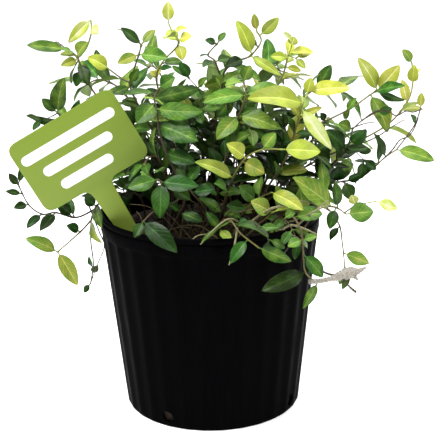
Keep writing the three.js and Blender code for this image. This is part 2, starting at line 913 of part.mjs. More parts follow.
// The whole plant as plain data: stems first, then chosen leaves, then leaves by the rule
class Plant {
  constructor(shoots) {
    this.shoots = shoots.map((shoot, index) => ({ ...shoot, index, leaves: [] }));
    this.stemPoints = [];
    this.leafPoints = [];
    for (const shoot of this.shoots) this.layStems(shoot);
    for (const shoot of this.shoots) this.placeChosen(shoot);
    for (const shoot of this.shoots) this.growPairs(shoot);
  }

  layStems(shoot) {
    for (const route of shoot.routes) {
      if (route.on) {
        const parent = shoot.routes[route.on[0]];
        route.line = [curvePoint(parent.line, route.on[1]), ...route.points];
      } else {
        route.line = route.points;
      }
      const steps = (route.line.length - 1) * 6;
      for (let i = 0; i <= steps; i += 1) {
        this.stemPoints.push({ point: curvePoint(route.line, i / 6), shoot: shoot.index });
      }
    }
  }

  fits(leaf, shoot) {
    const near = (other, reach) => squareOf(sub(other.point, leaf.root)) < reach * reach;
    const stems = this.stemPoints.filter((other) => near(other, 60));
    const leaves = this.leafPoints.filter((other) => near(other, 60));
    for (const { point, outer } of bladeSamples(leaf)) {
      if (!clearOfPlanter(point)) return false;
      for (const other of stems) {
        const own = other.shoot === shoot;
        if (own && near(other, OWN_STEM_REACH)) continue;
        const least = own ? OWN_STEM_GAP : STEM_GAP;
        if (squareOf(sub(other.point, point)) < least * least) return false;
      }
      for (const other of leaves) {
        const own = other.shoot === shoot;
        const paired = own && squareOf(sub(other.leaf.root, leaf.root)) < 9;
        if (paired && dot(other.leaf.along, leaf.along) > PAIR_SPREAD) return false;
        if (paired && !(outer && other.outer)) continue;
        const least = own ? OWN_LEAF_GAP : LEAF_GAP;
        if (squareOf(sub(other.point, point)) < least * least) return false;
      }
    }
    return true;
  }

  keep(leaf, shoot, route, position) {
    shoot.leaves.push({ ...leaf, position, route: shoot.routes.indexOf(route) });
    for (const sample of bladeSamples(leaf)) {
      this.leafPoints.push({ ...sample, leaf, shoot: shoot.index });
    }
  }

  placeChosen(shoot) {
    for (const route of shoot.routes) {
      for (const [position, x, y, z, width, turn = 0] of route.leaves ?? []) {
        const root = curvePoint(route.line, position);
        for (const [shift, roll] of CHOSEN_TRIES) {
          const leaf = bladeFrame(root, [x, y + shift, z], width, [0, -0.8, 0.6], turn + roll);
          if (this.fits(leaf, shoot.index)) {
            this.keep(leaf, shoot, route, position);
            break;
          }
        }
      }
    }
  }

  growPairs(shoot) {
    const random = randomFrom(7919 * (shoot.index + 1));
    for (const route of shoot.routes) {
      const [from, to, count, length] = route.pairs ?? [0, 0, 0, 0];
      for (let k = 0; k < count; k += 1) {
        const position = from + ((to - from) * k) / Math.max(count - 1, 1);
        const base = 50 + 90 * k + 40 * (random() - 0.5);
        for (const half of [0, 180]) {
          const draw = [random(), random(), random(), random(), random()];
          this.growLeaf(shoot, route, position, base + half, length, draw);
        }
      }
      if (count > 0 && !route.leaves) {
        const end = route.line.length - 1;
        const draw = [random(), random(), random(), random(), random()];
        this.growLeaf(shoot, route, end, 90, length * 0.7, draw);
      }
    }
  }

  growLeaf(shoot, route, position, angle, size, draw) {
    const root = curvePoint(route.line, position);
    const tangent = unit(sub(root, curvePoint(route.line, position - 0.05)));
    const level = unit(Math.abs(tangent[2]) > 0.97 ? [1, 0, 0] : cross(tangent, [0, 0, 1]));
    const lift = cross(level, tangent);
    const outward = unit([root[0], root[1] - 5, 0.01]);
    const spread = radians(52 + 22 * draw[0]);
    for (let attempt = 0; attempt < 9; attempt += 1) {
      const around = radians(angle + 35 * attempt * (attempt % 2 === 0 ? 1 : -1));
      const sideways = add(times(level, Math.cos(around)), times(lift, Math.sin(around)));
      const heading = add(times(tangent, Math.cos(spread)), times(sideways, Math.sin(spread)));
      const pushed = add(heading, add(times(outward, 0.35), [0, 0, -0.2 * draw[1]]));
      const length = size * (0.8 + 0.4 * draw[2]) * (1 - 0.03 * attempt);
      const tip = add(root, times(unit(pushed), length));
      const facing = [
        outward[0] * 0.45 + 0.3 * (draw[3] - 0.5),
        outward[1] * 0.45 - 0.25 + 0.3 * (draw[4] - 0.5),
        0.75,
      ];
      const leaf = bladeFrame(root, tip, length * (0.42 + 0.08 * draw[3]), facing, 0);
      if (this.fits(leaf, shoot.index)) {
        this.keep(leaf, shoot, route, position);
        return;
      }
    }
  }
}

const wasm = await Module();
wasm.setup();

// A closed geometry as a solid that can be joined and cut
function solidOf(geometry) {
  const bare = new THREE.BufferGeometry();
  bare.setAttribute('position', geometry.getAttribute('position'));
  if (geometry.index) bare.setIndex(geometry.index);
  const merged = mergeVertices(bare, 1e-4);
  const mesh = new wasm.Mesh({
    numProp: 3,
    vertProperties: new Float32Array(merged.getAttribute('position').array),
    triVerts: new Uint32Array(merged.index.array),
  });
  return new wasm.Manifold(mesh);
}

// A geometry from rows of points and triangles of point numbers
function geometryOf(points, triangles) {
  const geometry = new THREE.BufferGeometry();
  geometry.setAttribute('position', new THREE.Float32BufferAttribute(points.flat(), 3));
  geometry.setIndex(triangles.flat());
  return geometry;
}

// Rings of equal count between two end points, closed into one body
function stackOfRings(first, rings, last) {
  const count = rings[0].length;
  const points = [first, ...rings.flat(), last];
  const end = points.length - 1;
  const triangles = [];
  for (let i = 0; i < count; i += 1) {
    const next = (i + 1) % count;
    triangles.push([0, 1 + next, 1 + i]);
    for (let k = 0; k + 1 < rings.length; k += 1) {
      const low = 1 + k * count;
      const high = low + count;
      triangles.push([low + i, low + next, high + next], [low + i, high + next, high + i]);
    }
    const top = 1 + (rings.length - 1) * count;
    triangles.push([end, top + i, top + next]);
  }
  return geometryOf(points, triangles);
}

// A round ring with an even number of flutes cut into it
function flutedRing(radius, z, depth) {
  const ring = [];
  for (let i = 0; i < FLUTE_COUNT * 2; i += 1) {
    const angle = (Math.PI * i) / FLUTE_COUNT;
    const r = radius - (i % 2) * depth;
    ring.push([r * Math.cos(angle), r * Math.sin(angle), z]);
  }
  return ring;
}

function potSolid() {
  const top = POT_TOP_RADIUS;
  const rings = [
    flutedRing(POT_BASE_RADIUS - 2.4, 0, 0),
    flutedRing(POT_BASE_RADIUS, 3, FLUTE_DEPTH * 0.7),
    flutedRing(top - 0.9, FLUTE_TOP, FLUTE_DEPTH),
    flutedRing(top - 0.4, FLUTE_TOP + 1.6, 0),
    flutedRing(top - 0.3, 146.2, 0),
    flutedRing(top - 1.3, 147.2, 0),
    flutedRing(top, 148.6, 0),
    flutedRing(top, 150.8, 0),
    flutedRing(top - 0.8, POT_HEIGHT, 0),
    flutedRing(POT_INNER_TOP_RADIUS + 0.4, POT_HEIGHT - 0.2, 0),
    flutedRing(POT_INNER_TOP_RADIUS, POT_HEIGHT - 1.4, 0),
    flutedRing(POT_INNER_BASE_RADIUS, POT_FLOOR, 0),
  ];
  let pot = solidOf(stackOfRings([0, 0, 0], rings, [0, 0, POT_FLOOR]));
  for (const degrees of DRAIN_ANGLES) {
    const angle = radians(degrees - 90);
    const hole = new THREE.CylinderGeometry(DRAIN_RADIUS, DRAIN_RADIUS, 12, 10);
    hole.rotateZ(Math.PI / 2);
    hole.translate(POT_BASE_RADIUS, 0, 0);
    hole.rotateZ(angle);
    hole.translate(0, 0, DRAIN_HEIGHT);
    pot = pot.subtract(solidOf(hole));
  }
  return pot;
}

// The label's outline: a rounded board on a stake that ends in a point
function labelShape(margin) {
  const w = LABEL_WIDTH / 2 + margin;
  const h = LABEL_HEIGHT / 2 + margin;
  const c = LABEL_CORNER;
  const s = STAKE_WIDTH / 2 + margin;
  const top = STAKE_TOP_WIDTH / 2 + margin;
  const flare = STAKE_FLARE;
  const foot = -h - STAKE_LENGTH;
  const shape = new THREE.Shape();
  shape.moveTo(s, foot + 10);
  shape.lineTo(top, -h - flare);
  shape.quadraticCurveTo(top, -h, top + flare, -h);
  shape.lineTo(w - c, -h);
  shape.quadraticCurveTo(w, -h, w, -h + c);
  shape.lineTo(w, h - c);
  shape.quadraticCurveTo(w, h, w - c, h);
  shape.lineTo(-w + c, h);
  shape.quadraticCurveTo(-w, h, -w, h - c);
  shape.lineTo(-w, -h + c);
  shape.quadraticCurveTo(-w, -h, -w + c, -h);
  shape.lineTo(-top - flare, -h);
  shape.quadraticCurveTo(-top, -h, -top, -h - flare);
  shape.lineTo(-s, foot + 10);
  shape.lineTo(0, foot);
  shape.closePath();
  return shape;
}

function labelSolid(margin) {
  const depth = LABEL_THICKNESS + 2 * margin;
  const geometry = new THREE.ExtrudeGeometry(labelShape(margin), {
    depth,
    bevelEnabled: false,
    curveSegments: 4,
  });
  geometry.translate(0, 0, -depth / 2);
  geometry.rotateX(Math.PI / 2);
  geometry.rotateY(-radians(LABEL_TILT));
  geometry.translate(...LABEL_CENTRE);
  return solidOf(geometry);
}

// Soil filling the pot, its top uneven, with a plain hole for every stem and for the stake
function soilSolid(plant) {
  const random = randomFrom(4241);
  const bump = () => SOIL_TOP + SOIL_BUMP * (2 * random() - 1);
  const ring = (radius, count, height) => {
    const out = [];
    for (let i = 0; i < count; i += 1) {
      const angle = (2 * Math.PI * i) / count;
      out.push([radius * Math.cos(angle), radius * Math.sin(angle), height()]);
    }
    return out;
  };
  const rings = [
    ring(SOIL_BASE_RADIUS, 32, () => POT_FLOOR + SEAT_GAP + 0.1),
    ring(SOIL_RADIUS, 32, () => SOIL_TOP),
    ring(SOIL_RADIUS * 0.84, 32, bump),
    ring(SOIL_RADIUS * 0.6, 32, bump),
    ring(SOIL_RADIUS * 0.3, 32, bump),
  ];
  const base = [0, 0, POT_FLOOR + SEAT_GAP + 0.1];
  let soil = solidOf(stackOfRings(base, rings, [0, 0, SOIL_TOP + 1]));
  for (const shoot of plant.shoots) {
    const [x, y] = shoot.routes[0].points[0];
    const half = shoot.routes[0].radii[0] * Math.SQRT1_2 + SEAT_GAP;
    const hole = new THREE.BoxGeometry(half * 2, half * 2, 40);
    hole.translate(x, y, STEM_FOOT - SEAT_GAP + 20);
    soil = soil.subtract(solidOf(hole));
  }
  return soil.subtract(labelSolid(SEAT_GAP));
}

// Position steps that cover a given distance along a route
function stepFor(line, position, distance) {
  const low = Math.max(position - 0.05, 0);
  const reach = sub(curvePoint(line, low + 0.1), curvePoint(line, low));
  return (distance * 0.1) / Math.sqrt(dot(reach, reach));
}

// Where the rings of a stem go: even steps, and a close pair of rings at every leaf
function ringPositions(route, leaves) {
  const { line } = route;
  const last = line.length - 1;
  const nodes = [];
  for (const leaf of [...leaves].sort((a, b) => a.position - b.position)) {
    const half = stepFor(line, leaf.position, NODE_HALF);
    const previous = nodes[nodes.length - 1];
    if (previous && leaf.position - previous.centre < 1.5 * half) {
      previous.leaves.push(leaf);
      continue;
    }
    const least = previous ? previous.high + 0.6 * half : 0;
    const low = Math.max(leaf.position - half, least);
    nodes.push({ centre: low + half, low, high: low + 2 * half, leaves: [leaf] });
  }
  let limit = last - stepFor(line, last - 0.2, 0.7);
  for (const node of [...nodes].reverse()) {
    const back = Math.max(node.high - limit, 0);
    node.low -= back;
    node.high -= back;
    limit = node.low - stepFor(line, node.low, 0.4);
  }
  const start = route.on ? 0 : 1;
  const steps = Math.max(2, Math.round((last - start) * 1.3));
  const even = route.on ? [0] : [0, 1];
  for (let i = 1; i <= steps; i += 1) even.push(start + ((last - start) * i) / steps);
  const clear = (position) => {
    const room = stepFor(line, position, 1.3);
    return nodes.every((node) => position < node.low - room || position > node.high + room);
  };
  const kept = even.filter((position, i) => i === 0 || position === last || clear(position));
  const all = [...kept, ...nodes.flatMap((node) => [node.low, node.high])];
  return { positions: all.sort((x, y) => x - y), nodes };
}

// The four corners of a stem at every ring position
function stemRings(route, positions) {
  const last = route.line.length - 1;
  const rings = [];
  let level = null;
  for (const position of positions) {
    const straight = !route.on && position <= 1;
    const before = curvePoint(route.line, Math.max(position - 0.05, 0));
    const after = curvePoint(route.line, Math.min(position + 0.05, last));
    const tangent = straight ? [0, 0, 1] : unit(sub(after, before));
    const reference = level ?? (Math.abs(tangent[2]) > 0.9 ? [1, 0, 0] : [0, 0, 1]);
    level = unit(sub(reference, times(tangent, dot(reference, tangent))));
    const side = cross(tangent, level);
    const radius = route.radii[0] + ((route.radii[1] - route.radii[0]) * position) / last;
    const centre = curvePoint(route.line, position);
    const corners = [45, 135, 225, 315].map((degrees) => {
      const angle = radians(degrees);
      const spoke = add(times(level, Math.cos(angle)), times(side, Math.sin(angle)));
      return add(centre, times(spoke, radius));
    });
    rings.push(corners);
  }
  return rings;
}

// A closed mesh of one route and its leaves, each leaf drawn out of one face of the stem
class LeafyRoute {
  constructor(route, leaves) {
    const { positions, nodes } = ringPositions(route, leaves);
    this.points = stemRings(route, positions).flat();
    this.triangles = [];
    const taken = new Map();
    const count = positions.length;
    for (const node of nodes) {
      const ring = positions.indexOf(node.low);
      for (const leaf of node.leaves) this.claim(leaf, ring, count, taken);
    }
    this.quad([3, 2, 1, 0]);
    for (let k = 0; k + 1 < count; k += 1) {
      for (let i = 0; i < 4; i += 1) this.face(this.sideFace(k, i), taken.get(`${k} ${i}`));
    }
    this.face(this.endFace(count), taken.get('end'));
  }

  sideFace(ring, i) {
    const next = (i + 1) % 4;
    return [ring * 4 + i, ring * 4 + next, ring * 4 + 4 + next, ring * 4 + 4 + i];
  }

  endFace(count) {
    return [0, 1, 2, 3].map((i) => (count - 1) * 4 + i);
  }

  normalOf(face) {
    const [a, b, , d] = face.map((index) => this.points[index]);
    return unit(cross(sub(b, a), sub(d, a)));
  }

  // The free face that looks most nearly the leaf's way
  claim(leaf, ring, count, taken) {
    const options = [0, 1, 2, 3].map((i) => [`${ring} ${i}`, this.sideFace(ring, i)]);
    if (ring === count - 3) options.push(['end', this.endFace(count)]);
    let best = null;
    for (const [key, face] of options) {
      const match = dot(this.normalOf(face), leaf.along);
      if (!taken.has(key) && (!best || match > best.match)) best = { key, match };
    }
    if (best && best.match > -0.2) taken.set(best.key, leaf);
  }

  quad([a, b, c, d]) {
    this.triangles.push([a, b, c], [a, c, d]);
  }

  face(corners, leaf) {
    if (leaf) this.blade(corners, leaf);
    else this.quad(corners);
  }

  addPoint(point) {
    this.points.push(point);
    return this.points.length - 1;
  }

  // The face's corners in the blade's own order: over left, over right, under right, under left
  ordered(face, leaf) {
    const { up, side } = leaf;
    const wanted = [sub(up, side), add(up, side), sub(side, up), times(add(side, up), -1)];
    const fit = (turn) => wanted.reduce((sum, way, j) => {
      return sum + dot(way, this.points[face[(j + turn) % 4]]);
    }, 0);
    const turn = [0, 1, 2, 3].reduce((a, b) => (fit(b) > fit(a) ? b : a));
    return [0, 1, 2, 3].map((j) => face[(j + turn) % 4]);
  }

  // A short stalk that turns towards the leaf where the leaf leaves the stem at a low angle
  stalk(corners, leaf) {
    const normal = this.normalOf(corners);
    if (dot(normal, leaf.along) > 0.62) return corners;
    const middle = times(corners.map((index) => this.points[index]).reduce(add), 0.25);
    const end = add(middle, add(times(normal, 1.3), times(leaf.along, 0.7)));
    const over = times(leaf.up, BLADE_THICKNESS / 2);
    const right = times(leaf.side, 0.5);
    const ends = [sub(over, right), add(over, right), sub(right, over), times(add(right, over), -1)]
      .map((offset) => this.addPoint(add(end, offset)));
    for (let i = 0; i < 4; i += 1) {
      const next = (i + 1) % 4;
      this.quad([corners[i], corners[next], ends[next], ends[i]]);
    }
    return ends;
  }

  // A thin arched blade, folded a little along its midrib
  blade(face, leaf) {
    const [a, b, c, d] = this.stalk(this.ordered(face, leaf), leaf);
    const { up } = leaf;
    const half = leaf.width / 2;
    const outline = [[0.36, 1, half], [0.72, 1, half * 0.74], [1, 0, 0]];
    outline.push([0.72, -1, half * 0.74], [0.36, -1, half]);
    const thick = times(up, BLADE_THICKNESS / 2);
    const rim = outline.map(([t, s, width]) => bladePoint(leaf, t, s, width));
    const over = rim.map((point) => this.addPoint(add(point, thick)));
    const under = rim.map((point) => this.addPoint(sub(point, thick)));
    this.triangles.push([a, b, over[2]], [b, over[0], over[1]], [b, over[1], over[2]]);
    this.triangles.push([a, over[2], over[3]], [a, over[3], over[4]]);
    this.triangles.push([d, under[2], c], [c, under[1], under[0]], [c, under[2], under[1]]);
    this.triangles.push([d, under[3], under[2]], [d, under[4], under[3]]);
    const upper = [b, ...over, a];
    const lower = [c, ...under, d];
    for (let i = 0; i + 1 < upper.length; i += 1) {
      this.quad([upper[i + 1], upper[i], lower[i], lower[i + 1]]);
    }
  }
}

function shootSolid(shoot) {
  const bodies = shoot.routes.map((route, index) => {
    const own = shoot.leaves.filter((leaf) => leaf.route === index);
    const { points, triangles } = new LeafyRoute(route, own);
    return solidOf(geometryOf(points, triangles));
  });
  return wasm.Manifold.union(bodies);
}

function meshOf(solid, name, slot) {
  const mesh = solid.getMesh();
  const geometry = new THREE.BufferGeometry();
  geometry.setAttribute('position', new THREE.Float32BufferAttribute(mesh.vertProperties, 3));
  geometry.setIndex(Array.from(mesh.triVerts));
  geometry.computeVertexNormals();
  const { color, roughness } = SLOTS[slot];
  const material = new THREE.MeshStandardMaterial({ name: slot, color, roughness, metalness: 0 });
  const out = new THREE.Mesh(geometry, material);
  out.name = name;
  return out;
}

function build() {
  const plant = new Plant(SHOOTS);
  const group = new THREE.Group();
  group.name = 'potted_asiatic_jasmine';
  group.add(meshOf(potSolid(), 'pot', 'pot_plastic'));
  group.add(meshOf(soilSolid(plant), 'soil', 'soil'));
  group.add(meshOf(labelSolid(0), 'plant_label', 'label_plastic'));
  for (const shoot of plant.shoots) {
    group.add(meshOf(shootSolid(shoot), shoot.name, shoot.slot));
  }
  return group;
}

export default build();
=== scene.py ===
"""Potted minima asiatic jasmine: its looks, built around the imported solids.

A fluted black nursery pot holds dark bark soil, a plain green plant label and wiry
stems with opposite leaves. The stems and leaves grow by the same seeded rule as the
solids, so each fine piece lies where its node is. Sizes are in millimetres until a
mesh is made, and in metres after that. The origin is the centre of the pot's underside,
+Z is up and the front faces -Y.
"""

import logging
import math
from dataclasses import dataclass, field
from enum import Enum
from functools import partial
from operator import mul
from typing import Callable

import bpy
import numpy as np
from mathutils import Matrix, Vector, noise


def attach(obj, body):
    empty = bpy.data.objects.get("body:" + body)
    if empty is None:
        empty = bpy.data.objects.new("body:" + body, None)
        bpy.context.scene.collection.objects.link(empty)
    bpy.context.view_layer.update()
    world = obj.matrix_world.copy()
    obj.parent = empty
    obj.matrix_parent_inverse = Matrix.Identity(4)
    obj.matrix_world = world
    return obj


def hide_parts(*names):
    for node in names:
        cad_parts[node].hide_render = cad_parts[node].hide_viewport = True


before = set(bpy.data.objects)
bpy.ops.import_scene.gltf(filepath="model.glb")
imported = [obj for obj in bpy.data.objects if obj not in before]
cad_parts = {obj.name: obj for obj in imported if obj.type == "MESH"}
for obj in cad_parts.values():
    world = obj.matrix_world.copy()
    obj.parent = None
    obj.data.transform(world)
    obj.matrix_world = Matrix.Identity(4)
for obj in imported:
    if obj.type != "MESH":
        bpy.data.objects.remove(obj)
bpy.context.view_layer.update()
log = logging.getLogger("jasmine")

MM = 0.001
BODY = "root"


# Sizes shared with the solids, in millimetres, and angles in degrees

POT_HEIGHT = 152.0
POT_TOP_RADIUS = 82.5
POT_BASE_RADIUS = 67.2
POT_FLOOR = 2.2
POT_INNER_TOP_RADIUS = 80.0
POT_INNER_BASE_RADIUS = 64.6
FLUTE_COUNT = 30
FLUTE_DEPTH = 1.1
FLUTE_TOP = 137.5
DRAIN_RADIUS = 4.5
DRAIN_HEIGHT = 8.5
DRAIN_ANGLES = (-30, 60, 150, 240)
SOIL_TOP = 134.0
SOIL_RADIUS = 77.8
SOIL_BASE_RADIUS = 64.2
STEM_FOOT = 121
LABEL_WIDTH = 87
LABEL_HEIGHT = 56.0
LABEL_CORNER = 8.0
LABEL_THICKNESS = 1.5
LABEL_CENTRE = (-92.5, -33, 204.5)
LABEL_TILT = 29.5
STAKE_WIDTH = 10
STAKE_TOP_WIDTH = 17.0
STAKE_LENGTH = 84.0
STAKE_FLARE = 7.0

# A blade's rise along its length and towards its margins, as shares of length and half width
BLADE_ARCH = 0.07
BLADE_FOLD = 0.28

# Least gaps that the solids' leaves keep, and how far a leaf's own stem is left out of them
LEAF_GAP = 3.4
OWN_LEAF_GAP = 2.4
STEM_GAP = 2.8
OWN_STEM_GAP = 2.3
OWN_STEM_REACH = 3.6

# Leaves that start nearer to each other than this are a pair, and must point apart
PAIR_REACH = 3.0
PAIR_SPREAD = 0.7

# Shifts of its tip in y and turns that a chosen leaf tries, in this order, until it fits
CHOSEN_TRIES = (
    (0, 0), (-4, 0), (4, 0), (0, 30), (0, -30), (-8, 0), (8, 0), (-6, 45), (6, -45), (-12, 0),
    (12, 0), (0, 60), (0, -60), (-16, 0), (16, 0), (-12, 40), (12, -40), (-12, -40), (12, 40),
    (-20, 0), (20, 0),
)

# Height at which an arched stem starts to lean, and its shares of the way out, of the rise
# and of the lift at its three middle points
ARCH_BASE = 150
ARCH_SHARES = ((0.25, 0.42, 0.5), (0.55, 0.78, 1.0), (0.82, 0.96, 0.6))


# The stems


@dataclass(frozen=True)
class Route:
    """One stem's line through given points, with its leaves.

    A chosen leaf is its place on the line, its tip's x, y and z, its width, its age and,
    where it isn't flat, its roll in degrees.

    Attributes:
        points: The line's points, those above the soil if it has a foot.
        leaves: Chosen leaves that the solid has.
        fine: Chosen leaves that only the looks have.
        foot: x and y where it stands in the soil, or None for a twig.
        neck: Height to which it rises straight up from its foot.
        on: The earlier route that it grows from and the place on it, or None.
        radii: Radius of the solid's stem at its start and end.
        age: How young grown leaves are at its start and end, 0 mature to 1 just opened.
        pairs: From, to, count and leaf length of the leaves that grow by the rule.
    """

    points: tuple
    leaves: tuple = ()
    fine: tuple = ()
    foot: tuple | None = None
    neck: float = 141
    on: tuple | None = None
    radii: tuple = (1.3, 0.9)
    age: tuple = (0.15, 0.35)
    pairs: tuple = ()


@dataclass(frozen=True)
class Shoot:
    """One leafy stem with its side twigs.

    Attributes:
        node: The CAD node it stands for, or nothing if only the looks have it.
        routes: Its lines, the main one first.
    """

    node: str
    routes: tuple

    @property
    def slot(self) -> str:
        """The record's material slot of its node."""
        return "young_leaf" if self.node.startswith("young") else "leaf"


def arched_shoot(node: str, root: tuple, tip: tuple, lift: float, pairs: tuple,
                 radii: tuple = (1.4, 0.95)) -> Shoot:
    """A stem that rises from the soil and arches over to its tip.

    Args:
        node: The CAD node it stands for.
        root: x and y where it leaves the soil.
        tip: Its end point.
        lift: How far the arch rises above the straight way.
        pairs: From, to, count and leaf length of its leaves.
        radii: Its radius at the start and end.

    Returns:
        The shoot, its points rounded to whole millimetres as in the solids.
    """
    (x0, y0), (x1, y1, z1) = root, tip
    points = []
    for out, up, bow in ARCH_SHARES:
        height = ARCH_BASE + (z1 - ARCH_BASE) * up + lift * bow
        points.append((round(x0 + (x1 - x0) * out), round(y0 + (y1 - y0) * out), round(height)))
    return Shoot(node, (Route((*points, tip), foot=root, radii=radii, pairs=pairs),))


# Stems at the back and inside: foot, tip, lift, and pairs as in a route
ARCHED = (
    ((-26, 26), (-96, 62, 236), 14, (1.8, 4.75, 6, 27)),  # rear left
    ((-14, 32), (-48, 80, 246), 10, (1.8, 4.75, 6, 27)),  # rear left, high
    ((2, 30), (6, 84, 226), 8, (1.8, 4.75, 6, 26)),  # rear centre, high
    ((18, 34), (58, 86, 241), 12, (1.8, 4.75, 6, 27)),  # rear right, high
    ((34, 34), (106, 74, 226), 14, (1.8, 4.75, 6, 27)),  # rear right
    ((-40, 24), (-112, 40, 186), 22, (1.8, 4.75, 6, 24)),  # low, rear left
    ((-2, 44), (-14, 118, 196), 24, (1.8, 4.75, 6, 24)),  # low, rear centre
    ((44, 30), (110, 66, 176), 20, (1.8, 4.75, 6, 24)),  # low, rear right
    ((-24, -12), (-46, -38, 194), 12, (1.7, 4.7, 5, 24)),  # inner left
    ((14, -4), (30, -18, 214), 14, (1.7, 4.7, 6, 26)),  # inner centre
    ((52, -4), (84, -2, 186), 12, (1.7, 4.7, 5, 24)),  # inner right
    ((-6, 4), (-2, 8, 232), 6, (1.7, 4.7, 7, 26)),  # inner middle, high
)

